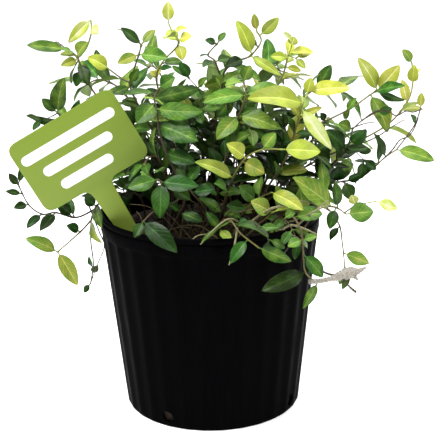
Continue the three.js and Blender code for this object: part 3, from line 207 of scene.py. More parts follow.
# All stems, in the order of the solids
SHOOTS = (
    # upper left spray, behind the label
    Shoot("leafy_stem_01", (Route((
        (-33, 2, 177), (-58, 4, 213), (-82, 5, 238), (-91, 4, 257), (-95, 4, 267), (-102, 4, 272),
    ), leaves=(
        (5.4, -86, -6, 247, 9, 0.1), (5.0, -96, -2, 245, 10, 0.12, 20), (5.9, -85, 0, 278, 11, 0.45),
        (6, -107, 4, 268, 8, 0.6, 25), (5.7, -105, -8, 262, 7, 0.6, -30), (7, -130, 0, 276, 10, 0.3),
    ), fine=((5.6, -101, 16, 245, 8, 0.2, 60), (6.2, -105, -4, 273, 8, 0.35, 30)),
        foot=(-22, 2), radii=(1.4, 0.95), age=(0.25, 0.6), pairs=(2.6, 4.6, 3, 22)),
    # drooping young tip
    Route(((-88, 10, 272), (-84, 12, 283), (-84, 12, 292)), leaves=(
        (3, -100, 2, 277, 9, 0.88, -20), (2.4, -78, 4, 283, 8, 1.0),
    ), radii=(1.0, 0.9), age=(0.9, 1.0), on=(0, 5.8)))),
    # left spray above the label
    Shoot("leafy_stem_02", (Route(((-38, 12, 163), (-67, 12, 187), (-96, 8, 211), (-111, 5, 225)), leaves=(
        (5, -104, 0, 252, 13, 0.3), (4.3, -95, 10, 234, 7, 0.15), (4.3, -131, 4, 223, 8, 0.1),
    ), fine=((5.0, -122, 5, 236, 8, 0.15),),
        foot=(-34, 12), radii=(1.3, 0.95), age=(0.2, 0.35), pairs=(2.6, 4.4, 3, 20)),)),
    # upright stem left of centre
    Shoot("leafy_stem_03", (Route((
        (-34, -4, 198), (-48, -4, 226), (-56, -2, 245), (-53, -2, 257), (-49, -2, 268), (-47, -2, 275),
    ), leaves=(
        (7, -61, -6, 288, 8, 0.1), (7, -65, 8, 285, 8, 0.1, 65), (7, -37, 4, 285, 7, 0.5),
        (6, -64, -10, 263, 9, 0.5), (6, -28, -8, 266, 13, 0.36), (4.2, -49, -8, 259, 7, 0.3),
        (4, -68, -8, 241, 8, 0.2),
    ), foot=(-13, -6), radii=(1.4, 0.95), age=(0.15, 0.45), pairs=(2.6, 3.7, 3, 26)),
    # side twig to the left
    Route(((-62, 2, 250), (-71, 2, 257)), leaves=(
        (2, -86, -4, 267, 12, 0.75), (1, -84, -4, 247, 7, 0.4, 40),
    ), radii=(1.0, 0.9), age=(0.4, 0.5), on=(0, 4.2)))),
    # tallest young shoot
    Shoot("young_shoot_01", (Route((
        (-23, 12, 186), (-32, 16, 222), (-38, 20, 246), (-33, 22, 259), (-21, 24, 272), (-26, 26, 282),
        (-28, 26, 287),
    ), leaves=(
        (8, -28, 26, 303, 9, 0.88), (6.2, -11, 18, 278, 9, 0.85), (6.5, -31, 20, 277, 12, 0.85, 15),
        (6, -18, 16, 261, 9, 0.85), (4.6, -26, 18, 256, 5, 0.15), (4.9, -19, 20, 257, 8, 0.35),
        (4.1, -43, 22, 252, 7, 0.6),
    ), fine=((6.1, -30, 36, 280, 9, 0.85), (6.7, -14, 26, 283, 9, 0.85, -30)),
        foot=(-5, 12), age=(0.3, 1.0), pairs=(2.5, 4.0, 3, 24)),)),
    # twig with small leaves
    Shoot("leafy_stem_04", (Route((
        (2, 0, 189), (6, 0, 225), (10, 2, 245), (6, 4, 261), (1, 6, 266), (8, 6, 274),
    ), leaves=(
        (6.9, -1, 4, 277, 6, 0.1), (7, 14, 8, 281, 5, 0.3), (6, -5, 4, 265, 6, 0.1, 50),
        (5, -3, -4, 259, 8, 0.1, 20), (5, 18, 12, 262, 8, 0.15), (3.8, 6, -12, 252, 12, 0.5),
        (3.8, -3, -14, 238, 9, 0.35),
    ), foot=(1, -1), age=(0.35, 0.4), pairs=(2.5, 4.6, 4, 22)),)),
    # dark stem at the top
    Shoot("leafy_stem_05", (Route((
        (13, 6, 195), (15, 6, 229), (12, 8, 251), (22, 10, 260), (32, 11, 264), (40, 14, 274),
        (37, 16, 281),
    ), leaves=(
        (6.1, 22, 8, 290, 12, 0.72), (5.5, 13, 2, 258, 9, 0.08, -15), (8, 35, 16, 294, 6, 0.6),
        (7.5, 53, 14, 291, 9, 0.56), (6.6, 33, 12, 278, 5, 0.1), (6, 54, 2, 250, 8, 0.65),
        (4.6, 39, 2, 246, 10, 0.3), (3.8, -2, 0, 243, 10, 0.45),
    ), fine=((6.0, 41, 19, 254, 7, 0.5),),
        foot=(11, 6), radii=(1.4, 0.9), age=(0.2, 0.62), pairs=(2.4, 4.2, 4, 25)),)),
    # young shoot, top right
    Shoot("young_shoot_02", (Route((
        (27, 20, 183), (44, 30, 220), (57, 36, 245), (61, 38, 258), (64, 38, 267),
    ), leaves=(
        (5, 48, 34, 260, 8, 0.8, -20), (6, 66, 38, 274, 8, 0.8), (5.3, 80, 34, 262, 11, 0.85),
        (6, 57, 36, 279, 6, 0.9), (4.4, 71, 36, 248, 6, 0.8),
    ), fine=((5.0, 64, 46, 270, 8, 0.75, 30),),
        foot=(24, 16), age=(0.25, 0.95), pairs=(2.4, 4.6, 4, 24)),)),
    # broad leaves left of centre
    Shoot("leafy_stem_06", (Route((
        (-19, -28, 173), (-29, -36, 200), (-34, -40, 219), (-35, -40, 233), (-37, -36, 242),
        (-34, -32, 248),
    ), leaves=(
        (5.6, -49, -50, 227, 15, 0.2), (7, -22, -34, 256, 12, 0.3), (6, -5, -38, 250, 12, 0.25),
        (5.2, -3, -46, 235, 13, 0.4, -20), (4.3, -7, -56, 215, 17, 0.24),
        (6.4, -60, -34, 244, 9, 0.2, 30), (3.1, -9, -50, 198, 12, 0.2),
    ), foot=(-20, -20), radii=(1.5, 0.9), age=(0.1, 0.25)),)),
    # low stem, front left
    Shoot("leafy_stem_07", (Route(((-17, -46, 171), (-28, -56, 182), (-35, -58, 189)), leaves=(
        (4, -56, -62, 184, 12, 0.22), (3.6, -7, -64, 185, 13, 0.15), (3.6, -34, -66, 164, 13, 0.13),
        (2.8, -13, -62, 175, 10, 0.1),
    ), foot=(-30, -34), neck=140, radii=(1.4, 0.95), age=(0.15, 0.25), pairs=(1.6, 2.4, 1, 18)),
    # leaf hanging over the rim
    Route(((-30, -60, 169), (-39, -68, 168), (-45, -76, 164)), leaves=(
        (3, -22, -92, 146, 14, 0.0), (3, -51, -84, 155, 8, 0.05),
    ), radii=(1.0, 0.9), age=(0.15, 0.3), on=(0, 2.2)))),
    # over the left rim
    Shoot("leafy_stem_08", (Route((
        (-52, -8, 164), (-68, -9, 166), (-81, -8, 160), (-88, -7, 149), (-90, -6, 130), (-89, -6, 111),
        (-92, -6, 95),
    ), leaves=(
        (5.2, -78, -34, 138, 9, 0.5, 10), (7.4, -85, -6, 112, 6, 0.1), (8, -97, -6, 88, 5, 0.1),
        (3.6, -95, -14, 166, 8, 0.1, 30), (3, -75, -18, 173, 9, 0.1), (4.4, -93, -6, 163, 9, 0.02),
        (4.4, -77, -43, 150, 9, 0.3),
    ), fine=(
        (7.2, -92, -6, 117, 5, 0.1, -60), (2.5, -71, -9, 175, 10, 0.05, 60), (2.2, -67, -8, 178, 9, 0.05),
        (2.9, -59, -8, 156, 9, 0.05),
    ), foot=(-48, -4), neck=142, age=(0.3, 0.35)),
    # outer twig with two olive leaves
    Route(((-97, -12, 138), (-114, -16, 124)), leaves=(
        (2, -137, -16, 135, 11, 0.5), (2, -100, -20, 99, 12, 0.53), (1, -106, -18, 145, 8, 0.2),
    ), radii=(1.0, 0.9), age=(0.6, 0.65), on=(0, 5.2)),
    # outer twig with dark leaves
    Route(((-99, -14, 150), (-114, -14, 154), (-124, -14, 153), (-134, -12, 160), (-141, -10, 175)), leaves=(
        (1.2, -113, -18, 164, 9, 0.02), (2, -124, -16, 144, 9, 0.02), (3, -134, -14, 146, 7, 0.02),
        (4, -144, -14, 159, 7, 0.02), (4.9, -147, -12, 184, 6, 0.02), (5, -136, -8, 188, 6, 0.02),
        (4.5, -150, -10, 171, 5, 0.02),
    ), fine=((1.1, -106, -2, 163, 6, 0.1),), radii=(1.0, 0.9), age=(0.15, 0.1), on=(0, 4.6)))),
    # behind the label, middle
    Shoot("leafy_stem_09", (Route((
        (-36, -16, 166), (-44, -18, 185), (-51, -16, 201), (-55, -12, 215),
    ), leaves=(
        (5, -60, -16, 229, 10, 0.15), (5, -41, -24, 218, 12, 0.2),
    ), foot=(-40, -14), radii=(1.3, 0.95), age=(0.15, 0.3), pairs=(1.7, 4.8, 5, 24)),)),
    # large lime leaves right of centre
    Shoot("young_shoot_03", (Route((
        (39, -18, 165), (55, -22, 193), (64, -24, 219), (68, -24, 234), (72, -20, 242),
    ), leaves=(
        (5, 28, -44, 242, 18, 0.72), (6, 102, -16, 243, 13, 0.83), (4.7, 87, -40, 204, 11, 0.96),
        (5.6, 74, -20, 252, 8, 0.78), (4.2, 82, -18, 230, 6, 0.6),
    ), fine=((1.4, 24, -14, 157, 7, 0.5),),
        foot=(29, -12), radii=(1.4, 0.95), age=(0.1, 0.95), pairs=(2.6, 4.2, 3, 25)),)),
    # low lime leaves in the middle
    Shoot("young_shoot_04", (Route((
        (11, -38, 166), (17, -46, 186), (26, -50, 201), (38, -50, 207), (52, -46, 206),
    ), leaves=(
        (6, 79, -42, 203, 16, 0.74), (4, 13, -56, 213, 12, 0.66), (3.8, 39, -58, 192, 13, 0.5),
        (3, -9, -58, 201, 11, 0.6), (5, 47, -52, 219, 11, 0.35), (2.4, 4, -58, 186, 11, 0.35),
    ), foot=(8, -26), radii=(1.3, 0.95), age=(0.15, 0.85), pairs=(1.6, 2.2, 1, 20)),)),
    # centre
    Shoot("leafy_stem_10", (Route((
        (8, -20, 178), (16, -28, 208), (22, -30, 227), (27, -26, 241), (26, -22, 250),
    ), leaves=(
        (4, 49, -40, 220, 14, 0.35), (4, 6, -42, 213, 13, 0.45), (6, 31, -24, 262, 10, 0.4),
        (5, -3, -34, 238, 12, 0.4), (5, 51, -30, 247, 13, 0.35), (2.7, 30, -40, 218, 12, 0.3),
        (6, 13, -26, 248, 10, 0.45),
    ), foot=(3, -12), radii=(1.4, 0.95), age=(0.15, 0.45), pairs=(1.7, 2.8, 2, 24)),)),
    # bright leaf at the right
    Shoot("leafy_stem_11", (Route(((45, -34, 157), (67, -38, 158), (88, -36, 161), (99, -32, 154)), leaves=(
        (4, 59, -48, 186, 18, 0.43), (5, 119, -30, 155, 16, 0.4), (4.2, 86, -42, 146, 9, 0.15),
        (4.3, 90, -34, 179, 10, 0.15), (3, 65, -40, 176, 12, 0.45), (2.5, 47, -48, 180, 12, 0.4),
    ), fine=((3.7, 74, -37, 169, 8, 0.4),),
        foot=(34, -24), radii=(1.4, 0.95), age=(0.25, 0.5), pairs=(1.6, 2.2, 1, 20)),
    # pale outer leaf
    Route(((107, -24, 158), (122, -20, 160)), leaves=(
        (2, 138, -20, 154, 9, 0.94), (1, 104, -24, 165, 8, 0.9),
    ), radii=(0.8, 0.9), age=(0.8, 0.85), on=(0, 4.8)))),
    # far right, long leaf
    Shoot("leafy_stem_12", (Route((
        (62, 4, 156), (91, 6, 167), (114, 8, 171), (131, 6, 186), (140, 4, 193),
    ), leaves=(
        (6, 167, -4, 186, 12, 0.38), (4.7, 108, 2, 185, 8, 0.1, 40), (4.7, 126, 4, 205, 6, 0.1, 30),
        (3.4, 107, 4, 155, 11, 0.15), (3.2, 96, 0, 182, 13, 0.05),
    ), fine=((3.8, 122, 4, 179, 8, 0.1), (3.5, 115, 7, 176, 7, 0.1, 30), (5.1, 122, -2, 207, 7, 0.1)),
        foot=(42, 4), age=(0.25, 0.45), pairs=(1.7, 3.2, 3, 24)),
    # wiry tip going up
    Route(((148, 8, 202), (155, 12, 211), (159, 14, 222)), leaves=(
        (2.0, 150, 10, 219, 5, 0.2), (3, 159, 14, 234, 6, 0.6),
    ), radii=(0.7, 0.9), age=(0.3, 0.3), on=(0, 6)))),
    # dark mass at the right
    Shoot("leafy_stem_13", (Route(((70, 14, 161), (89, 6, 179), (102, 2, 194), (107, 4, 209)), leaves=(
        (4, 86, -2, 211, 14, 0.02), (5, 96, 2, 215, 10, 0.3), (4.3, 116, 0, 211, 11, 0.15),
        (3.8, 118, -4, 196, 12, 0), (3.2, 78, -2, 192, 13, 0.05),
    ), fine=((3.0, 80, 6, 186, 10, 0.05),),
        foot=(46, 16), radii=(1.4, 0.95), age=(0.0, 0.1), pairs=(1.7, 3.4, 3, 26)),
    # bare twig
    Route(((114, 6, 215), (125, 8, 221)), leaves=((2, 137, 10, 223, 7, 0.2, 40),),
        radii=(0.7, 0.9), age=(0.1, 0.3), on=(0, 5)))),
    # upper right spray
    Shoot("young_shoot_05", (Route((
        (47, 8, 178), (70, 14, 203), (88, 16, 213), (107, 18, 222), (122, 20, 232), (127, 20, 235),
    ), leaves=(
        (7, 112, 18, 260, 12, 0.85), (7, 143, 18, 254, 13, 0.85), (6.6, 144, 14, 242, 10, 0.25),
        (6.8, 147, 16, 228, 8, 0.2, 45), (6.0, 134, 10, 205, 13, 0.4), (4.8, 111, 14, 231, 6, 0.4),
        (4, 84, 14, 220, 6, 0.05), (5, 103, 14, 213, 6, 0.3),
    ), foot=(32, 4), radii=(1.3, 0.95), age=(0.05, 0.7), pairs=(1.8, 3.8, 4, 25)),)),
    # outermost young leaves
    Shoot("young_shoot_06", (Route((
        (70, 30, 172), (109, 38, 189), (139, 44, 204), (154, 46, 221), (158, 46, 235), (157, 46, 251),
    ), leaves=(
        (7, 149, 44, 262, 8, 0.5), (6, 158, 40, 251, 9, 0.8, -20), (5, 148, 42, 240, 9, 0.88),
        (6.3, 165, 46, 246, 8, 0.85),
    ), foot=(36, 24), age=(0.2, 0.9), pairs=(1.8, 4.6, 5, 24)),)),
    # over the rim, front right
    Shoot("leafy_stem_14", (Route((
        (53, -60, 163), (62, -76, 158), (64, -80, 143), (66, -78, 126), (75, -72, 116),
    ), leaves=(
        (5, 35, -90, 117, 14, 0.02), (4.2, 78, -80, 123, 11, 0.25), (6, 64, -84, 101, 7, 0.3),
        (3.6, 53, -88, 148, 8, 0.4), (2.5, 79, -60, 163, 12, 0.3),
    ), fine=((3.6, 74, -79, 152, 6, 0.4), (1.0, 28, -56, 139, 7, 0.3)),
        foot=(36, -44), neck=142, radii=(1.4, 0.9), age=(0.35, 0.55)),
    # bare woody end
    Route(((89, -62, 116), (105, -54, 119)), leaves=((1.6, 94, -60, 105, 5, 0.2),),
        radii=(1.1, 0.9), age=(0.4, 0.4), on=(0, 6)))),
    # over the rim, front centre
    Shoot("leafy_stem_15", (Route(((9, -62, 159), (15, -76, 163), (21, -88, 158), (33, -92, 149)), leaves=(
        (3.3, 40, -96, 155, 15, 0.15), (4.4, 14, -98, 140, 9, 0.2), (5, 55, -96, 140, 10, 0.3, 25),
        (3, -6, -88, 152, 8, 0.25, 50),
    ), foot=(6, -46), neck=142, radii=(1.3, 0.95), age=(0.35, 0.5), pairs=(1.4, 2.2, 1, 20)),)),
    # olive leaves above the rim
    Shoot("leafy_stem_16", (Route(((37, -52, 155), (44, -56, 163)), leaves=(
        (3, 29, -62, 173, 13, 0.5), (3, 66, -64, 167, 11, 0.75),
    ), foot=(24, -38), neck=142, age=(0.45, 0.55)),)),
    # low olive leaves
    Shoot("leafy_stem_30", (Route(((24, -44, 159), (33, -48, 170), (44, -50, 176)), leaves=(
        (4, 65, -54, 168, 12, 0.6), (3, 21, -54, 182, 12, 0.2), (3.2, 38, -44, 185, 10, 0.4),
        (2.3, 12, -54, 168, 10, 0.1),
    ), foot=(14, -34), age=(0.45, 0.5)),)),
    # low leaves at the front
    Shoot("leafy_stem_31", (Route(((-4, -46, 164), (-12, -50, 177), (-15, -48, 184)), leaves=(
        (4, -6, -46, 195, 8, 0.2), (4, -23, -44, 193, 9, 0.2), (3, 4, -54, 180, 10, 0.1),
    ), foot=(-8, -36), age=(0.2, 0.3), pairs=(1.6, 2.3, 1, 18)),)),
    # twig at the right side
    Shoot("leafy_stem_17", (Route(((80, -18, 157), (95, -14, 143), (99, -12, 124), (101, -12, 106)), leaves=(
        (4.3, 119, -14, 110, 11, 0.5), (3.2, 89, -18, 130, 7, 0.1, 30), (5, 97, -12, 93, 6, 0.2),
        (5, 110, -12, 96, 5, 0.2),
    ), fine=((1.1, 44, -22, 138, 7, 0.45),),
        foot=(52, -18), neck=142, radii=(1.2, 0.9), age=(0.3, 0.55), pairs=(1.7, 2.6, 1, 22)),)),
    *(arched_shoot(f"leafy_stem_{number}", *values) for number, values in enumerate(ARCHED, 18)),
)

# Twigs that only the looks have, where the photograph shows them
FINE_TWIGS = (
    # upper left of the crown
    Route(((-3, 7, 233), (-7, 8, 241), (-13, 8, 248)), fine=(
        (2, -20, 6, 261, 8, 0.2), (1, -17, 6, 241, 5, 0.15), (1, 0, 6, 250, 6, 0.3),
        (2, -26, 8, 256, 5, 0.25),
    ), radii=(0.8, 0.5), age=(0.2, 0.3)),
    # behind the label, far left
    Route(((-111, 5, 225), (-117, 4, 222), (-123, 3, 220)), fine=(
        (2, -132, 2, 226, 6, 0.1), (2, -129, 2, 214, 5, 0.15),
    ), radii=(0.7, 0.45), age=(0.1, 0.1)),
    # dark leaves low at the right
    Route(((103, 2, 195), (109, 0, 193), (115, -2, 187)), fine=(
        (1, 121, -2, 193, 7, 0.1), (2, 124, -4, 180, 8, 0.1), (2, 113, -4, 174, 7, 0.1),
        (1, 112, -3, 204, 7, 0.12),
    ), radii=(0.8, 0.5), age=(0.1, 0.1)),
    # top right of the crown
    Route(((61, 38, 260), (67, 36, 258)), fine=((1, 80, 36, 262, 9, 0.8), (1, 74, 34, 251, 6, 0.8)),
        radii=(0.6, 0.45), age=(0.7, 0.8)),
    # behind the stake
    Route(((-60, 14, 138), (-63, 16, 155), (-66, 18, 162), (-67, 18, 170), (-68, 18, 178)), fine=(
        (1, -76, 14, 158, 9, 0.05), (1, -57, 12, 163, 9, 0.1), (2, -79, 18, 165, 9, 0.02),
        (2, -56, 16, 172, 9, 0.05), (3, -78, 18, 177, 8, 0.05), (3, -60, 16, 184, 8, 0.1),
    ), radii=(0.8, 0.5), age=(0.1, 0.1)),
    # low behind the left
    Route(((-41, 24, 138), (-41, 26, 155), (-40, 27, 164), (-38, 28, 173)), fine=(
        (1, -52, 22, 160, 9, 0.05), (1, -29, 24, 158, 9, 0.1), (2, -51, 26, 171, 9, 0.1),
        (2, -27, 26, 170, 9, 0.05), (3, -44, 28, 186, 8, 0.1), (3, -30, 30, 184, 8, 0.05),
    ), radii=(0.8, 0.5), age=(0.1, 0.1)),
    # low behind the middle
    Route(((-5, 30, 138), (-4, 32, 152), (-4, 33, 162), (-3, 34, 171)), fine=(
        (1, -15, 30, 158, 9, 0.1), (1, 8, 32, 157, 9, 0.05), (2, -16, 32, 169, 9, 0.05),
        (2, 9, 34, 167, 9, 0.1), (3, -10, 34, 183, 8, 0.05), (3, 4, 34, 182, 8, 0.1),
    ), radii=(0.8, 0.5), age=(0.1, 0.1)),
    # over the rim, front middle
    Route(((24, -48, 137), (25, -58, 154), (28, -72, 162), (34, -85, 161), (40, -91, 154)), fine=(
        (2, 20, -86, 160, 7, 0.22), (3, 30, -93, 150, 7, 0.15), (3, 47, -90, 162, 6, 0.3),
        (4, 51, -93, 147, 6, 0.2), (4, 39, -94, 143, 6, 0.12),
    ), radii=(0.8, 0.5), age=(0.1, 0.2)),
    # over the rim, front right
    Route(((46, -40, 137), (47, -50, 154), (52, -66, 161), (57, -75, 156), (61, -79, 148)), fine=(
        (2, 42, -79, 157, 7, 0.12), (2, 60, -66, 169, 6, 0.45), (3, 49, -84, 147, 7, 0.2),
        (3, 69, -76, 151, 6, 0.22), (4, 58, -83, 137, 6, 0.1), (4, 68, -78, 140, 6, 0.25),
    ), radii=(0.8, 0.5), age=(0.1, 0.2)),
)


# Growth, by the same rule as the solids


# Starts of the random draws
PAIRS_SEED = 7919
FILL_SEED = 6007
INNER_SEED = 4409
STALKS_SEED = 5503
CHIPS_SEED = 90017


class Draws:
    """A small seeded sequence of numbers between 0 and 1."""

    def __init__(self, seed: int) -> None:
        """Starts the sequence from a seed."""
        self.state = seed

    def next(self) -> float:
        """The next number."""
        self.state = self.state * 48271 % 2147483647
        return self.state / 2147483647

    def several(self, count: int) -> list[float]:
        """The next few numbers."""
        return [self.next() for _ in range(count)]

    def between(self, low: float, high: float) -> float:
        """The next number, spread over a range."""
        return low + (high - low) * self.next()


def unit(vector: np.ndarray) -> np.ndarray:
    """A vector's direction, one long."""
    return vector / math.sqrt(float(vector @ vector))


def curve_point(points: np.ndarray, position: float) -> np.ndarray:
    """A point of the smooth curve through some points.

    Args:
        points: The points, one a row.
        position: 0 at the first point, 1 at the second and so on.

    Returns:
        The point there.
    """
    last = len(points) - 1
    span = min(math.floor(position), last - 1)
    t = position - span
    p0, p1 = points[max(span - 1, 0)], points[span]
    p2, p3 = points[span + 1], points[min(span + 2, last)]
    bend = (2 * p0 - 5 * p1 + 4 * p2 - p3) * t * t
    twist = (3 * p1 - p0 - 3 * p2 + p3) * t * t * t
    return 0.5 * (2 * p1 + (p2 - p0) * t + bend + twist)


def course(line: np.ndarray, first: int = 0, last: int | None = None) -> np.ndarray:
    """Points of a curve, SPAN_STEPS to a span, from the first number to the last."""
    end = (len(line) - 1) * SPAN_STEPS if last is None else last
    return np.array([curve_point(line, i / SPAN_STEPS) for i in range(first, end + 1)])


# Places along a blade and across it where its gaps are measured
SAMPLE_PLACES = np.array([0.16, 0.3, 0.44, 0.58, 0.72, 0.86, 1.0])
SAMPLE_ACROSS = np.array([-1, -0.5, 0, 0.5, 1])


@dataclass
class Leaf:
    """One leaf: where it starts, its axes and its size.

    Attributes:
        along: Direction of its midrib.
        up: Direction its upper face looks.
        position: Place of its root on the route.
        age: 0 mature to 1 just opened, or None to take its route's.
        tint: A number between 0 and 1 of its own, for its colour and waves.
        extra: True for one that only the looks have.
    """

    root: np.ndarray
    along: np.ndarray
    up: np.ndarray
    length: float
    width: float
    position: float = 0.0
    route: int = 0
    age: float | None = None
    tint: float = 0.5
    extra: bool = False

    @property
    def side(self) -> np.ndarray:
        """Direction across the blade."""
        return np.cross(self.along, self.up)

    @classmethod
    def towards(cls, root: np.ndarray, tip: np.ndarray, width: float, facing: np.ndarray,
                turn: float) -> "Leaf":
        """A leaf from its two ends.

        Args:
            root: Where it leaves its stem.
            tip: Its far end.
            width: Across its widest part.
            facing: Roughly where its upper face looks.
            turn: Roll about its midrib, in degrees.

        Returns:
            The leaf.
        """
        reach = tip - root
        length = math.sqrt(float(reach @ reach))
        along = reach * (1 / length)
        flat = unit(facing - along * float(facing @ along))
        angle = math.radians(turn)
        up = flat * math.cos(angle) + np.cross(along, flat) * math.sin(angle)
        return cls(root, along, up, length, width)

    def samples(self) -> np.ndarray:
        """Points over the solid's blade, five across at seven places along it.

        Returns:
            The points, one a row.
        """
        places, across = SAMPLE_PLACES[:, None], SAMPLE_ACROSS[None, :]
        half = self.width * 0.5 * np.minimum(np.sin(np.pi * places ** 0.78), 0.1 + 2.5 * places)
        arch = BLADE_ARCH * self.length * 4 * places * (1 - places)
        rise = arch + BLADE_FOLD * np.abs(across) * half
        points = (
            self.root
            + (self.length * places)[..., None] * self.along
            + (across * half)[..., None] * self.side
            + rise[..., None] * self.up
        )
        return points.reshape(-1, 3)

    def ball(self) -> tuple:
        """Its sample points, their middle and the distance of the farthest from it.

        Returns:
            The points, their middle and the distance.
        """
        samples = self.samples()
        centre = samples.mean(0)
        return samples, centre, math.sqrt(float(((samples - centre) ** 2).sum(1).max()))


@dataclass(frozen=True)
class Spacing:
    """Least distances between leaves and what is round them, in millimetres."""

    leaf: float
    own_leaf: float
    stem: float
    own_stem: float


@dataclass(frozen=True)
class Habit:
    """How a grown leaf stands on its stem; a draw adds a share of a pair's second number."""

    spread_degrees: tuple = (52, 22)
    turn_per_try: float = 35
    tries: int = 9
    pull_outward: float = 0.35
    sag: float = 0.2
    length_shares: tuple = (0.8, 0.4)
    shorter_per_try: float = 0.03
    width_shares: tuple = (0.42, 0.08)
    face_outward: float = 0.45
    face_forward: float = 0.25
    face_up: float = 0.75
    face_stray: float = 0.3


@dataclass(frozen=True)
class InnerStems:
    """Thin stems inside the crown that only the looks have, with leaves on them."""

    count: int = 50
    tries: int = 16
    radii: tuple = (1.1, 0.6)
    foot_reach: float = 64
    tip_spread: tuple = (1.15, 1.1)
    lean_right: float = 8
    tip_stray: tuple = (22, 20)
    tip_heights: tuple = (188, 238)
    lift: tuple = (0, 3)
    pairs: tuple = (2.2, 4.8, 6)
    leaf_lengths: tuple = (19, 29)
    deepest: float = 0.93


SOLID_SPACING = Spacing(LEAF_GAP, OWN_LEAF_GAP, STEM_GAP, OWN_STEM_GAP)
FINE_SPACING = Spacing(1.7, 1.5, 1.5, 1.4)

# Gaps of a new thin stem to every stem and to every leaf
NEW_STEM_GAPS = (2.2, 1.7)

# Room that leaves keep over the soil, over the rim in its band of radii, and round the label
SOIL_CLEAR = 4
RIM_CLEAR = 3.5
RIM_BAND = (76, 85.5)
BOARD_CLEAR = 1
STAKE_CLEAR = 1.5
LABEL_FRONT_CLEAR = 4

# How many leaves there is room for, and how many points a stem has to a span in the spacing
MOST_LEAVES = 3000
SPAN_STEPS = 6

# Even steps that give each leaf a number of its own, and how far its age strays by it
SHOOT_STEP = 31
AGE_STEP = 0.7548777
TINT_STEP = 0.618034
AGE_SPREAD = 0.22

# Angle of a stem's first pair, turn from each pair to the next, and how far a draw turns one
PAIR_TURNS = (50, 90, 40)
FILL_TURNS = (20, 90, 50)

# Length of the one leaf at a stem's tip as a share of its pairs'
TIP_SHARE = 0.7

# The small leaves between the others: the first place on a stem from the soil and on a twig,
# the steps along it, the rest that stays bare, and their length
FILL_FROM_SOIL = 1.3
FILL_FROM_FORK = 0.5
FILL_STEP = 0.3
FILL_REST = 1.2
FILL_LENGTH = (13, 9)

# The crown's dense heart, an ellipsoid by its centre and its reach in x, y and z
HEART_CENTRE = np.array([8.0, 4.0, 184.0])
HEART_REACH = np.array([98.0, 84.0, 66.0])

# Where the added leaves stop: the height under which they leave the stems bare, how fast it
# falls from which y and over what depth, and the y in front of which none grow
BARE_BELOW = 174.0
BARE_FALL = 0.75
BARE_FALL_FROM = -12
BARE_FALL_DEPTH = 44
FRONT_LIMIT = -24.0

# How young the added leaves may be at three heights: dark low down and lighter at the top
EXTRA_HEIGHTS = (192.0, 204.0, 228.0)
EXTRA_AGES = (0.1, 0.32, 0.62)


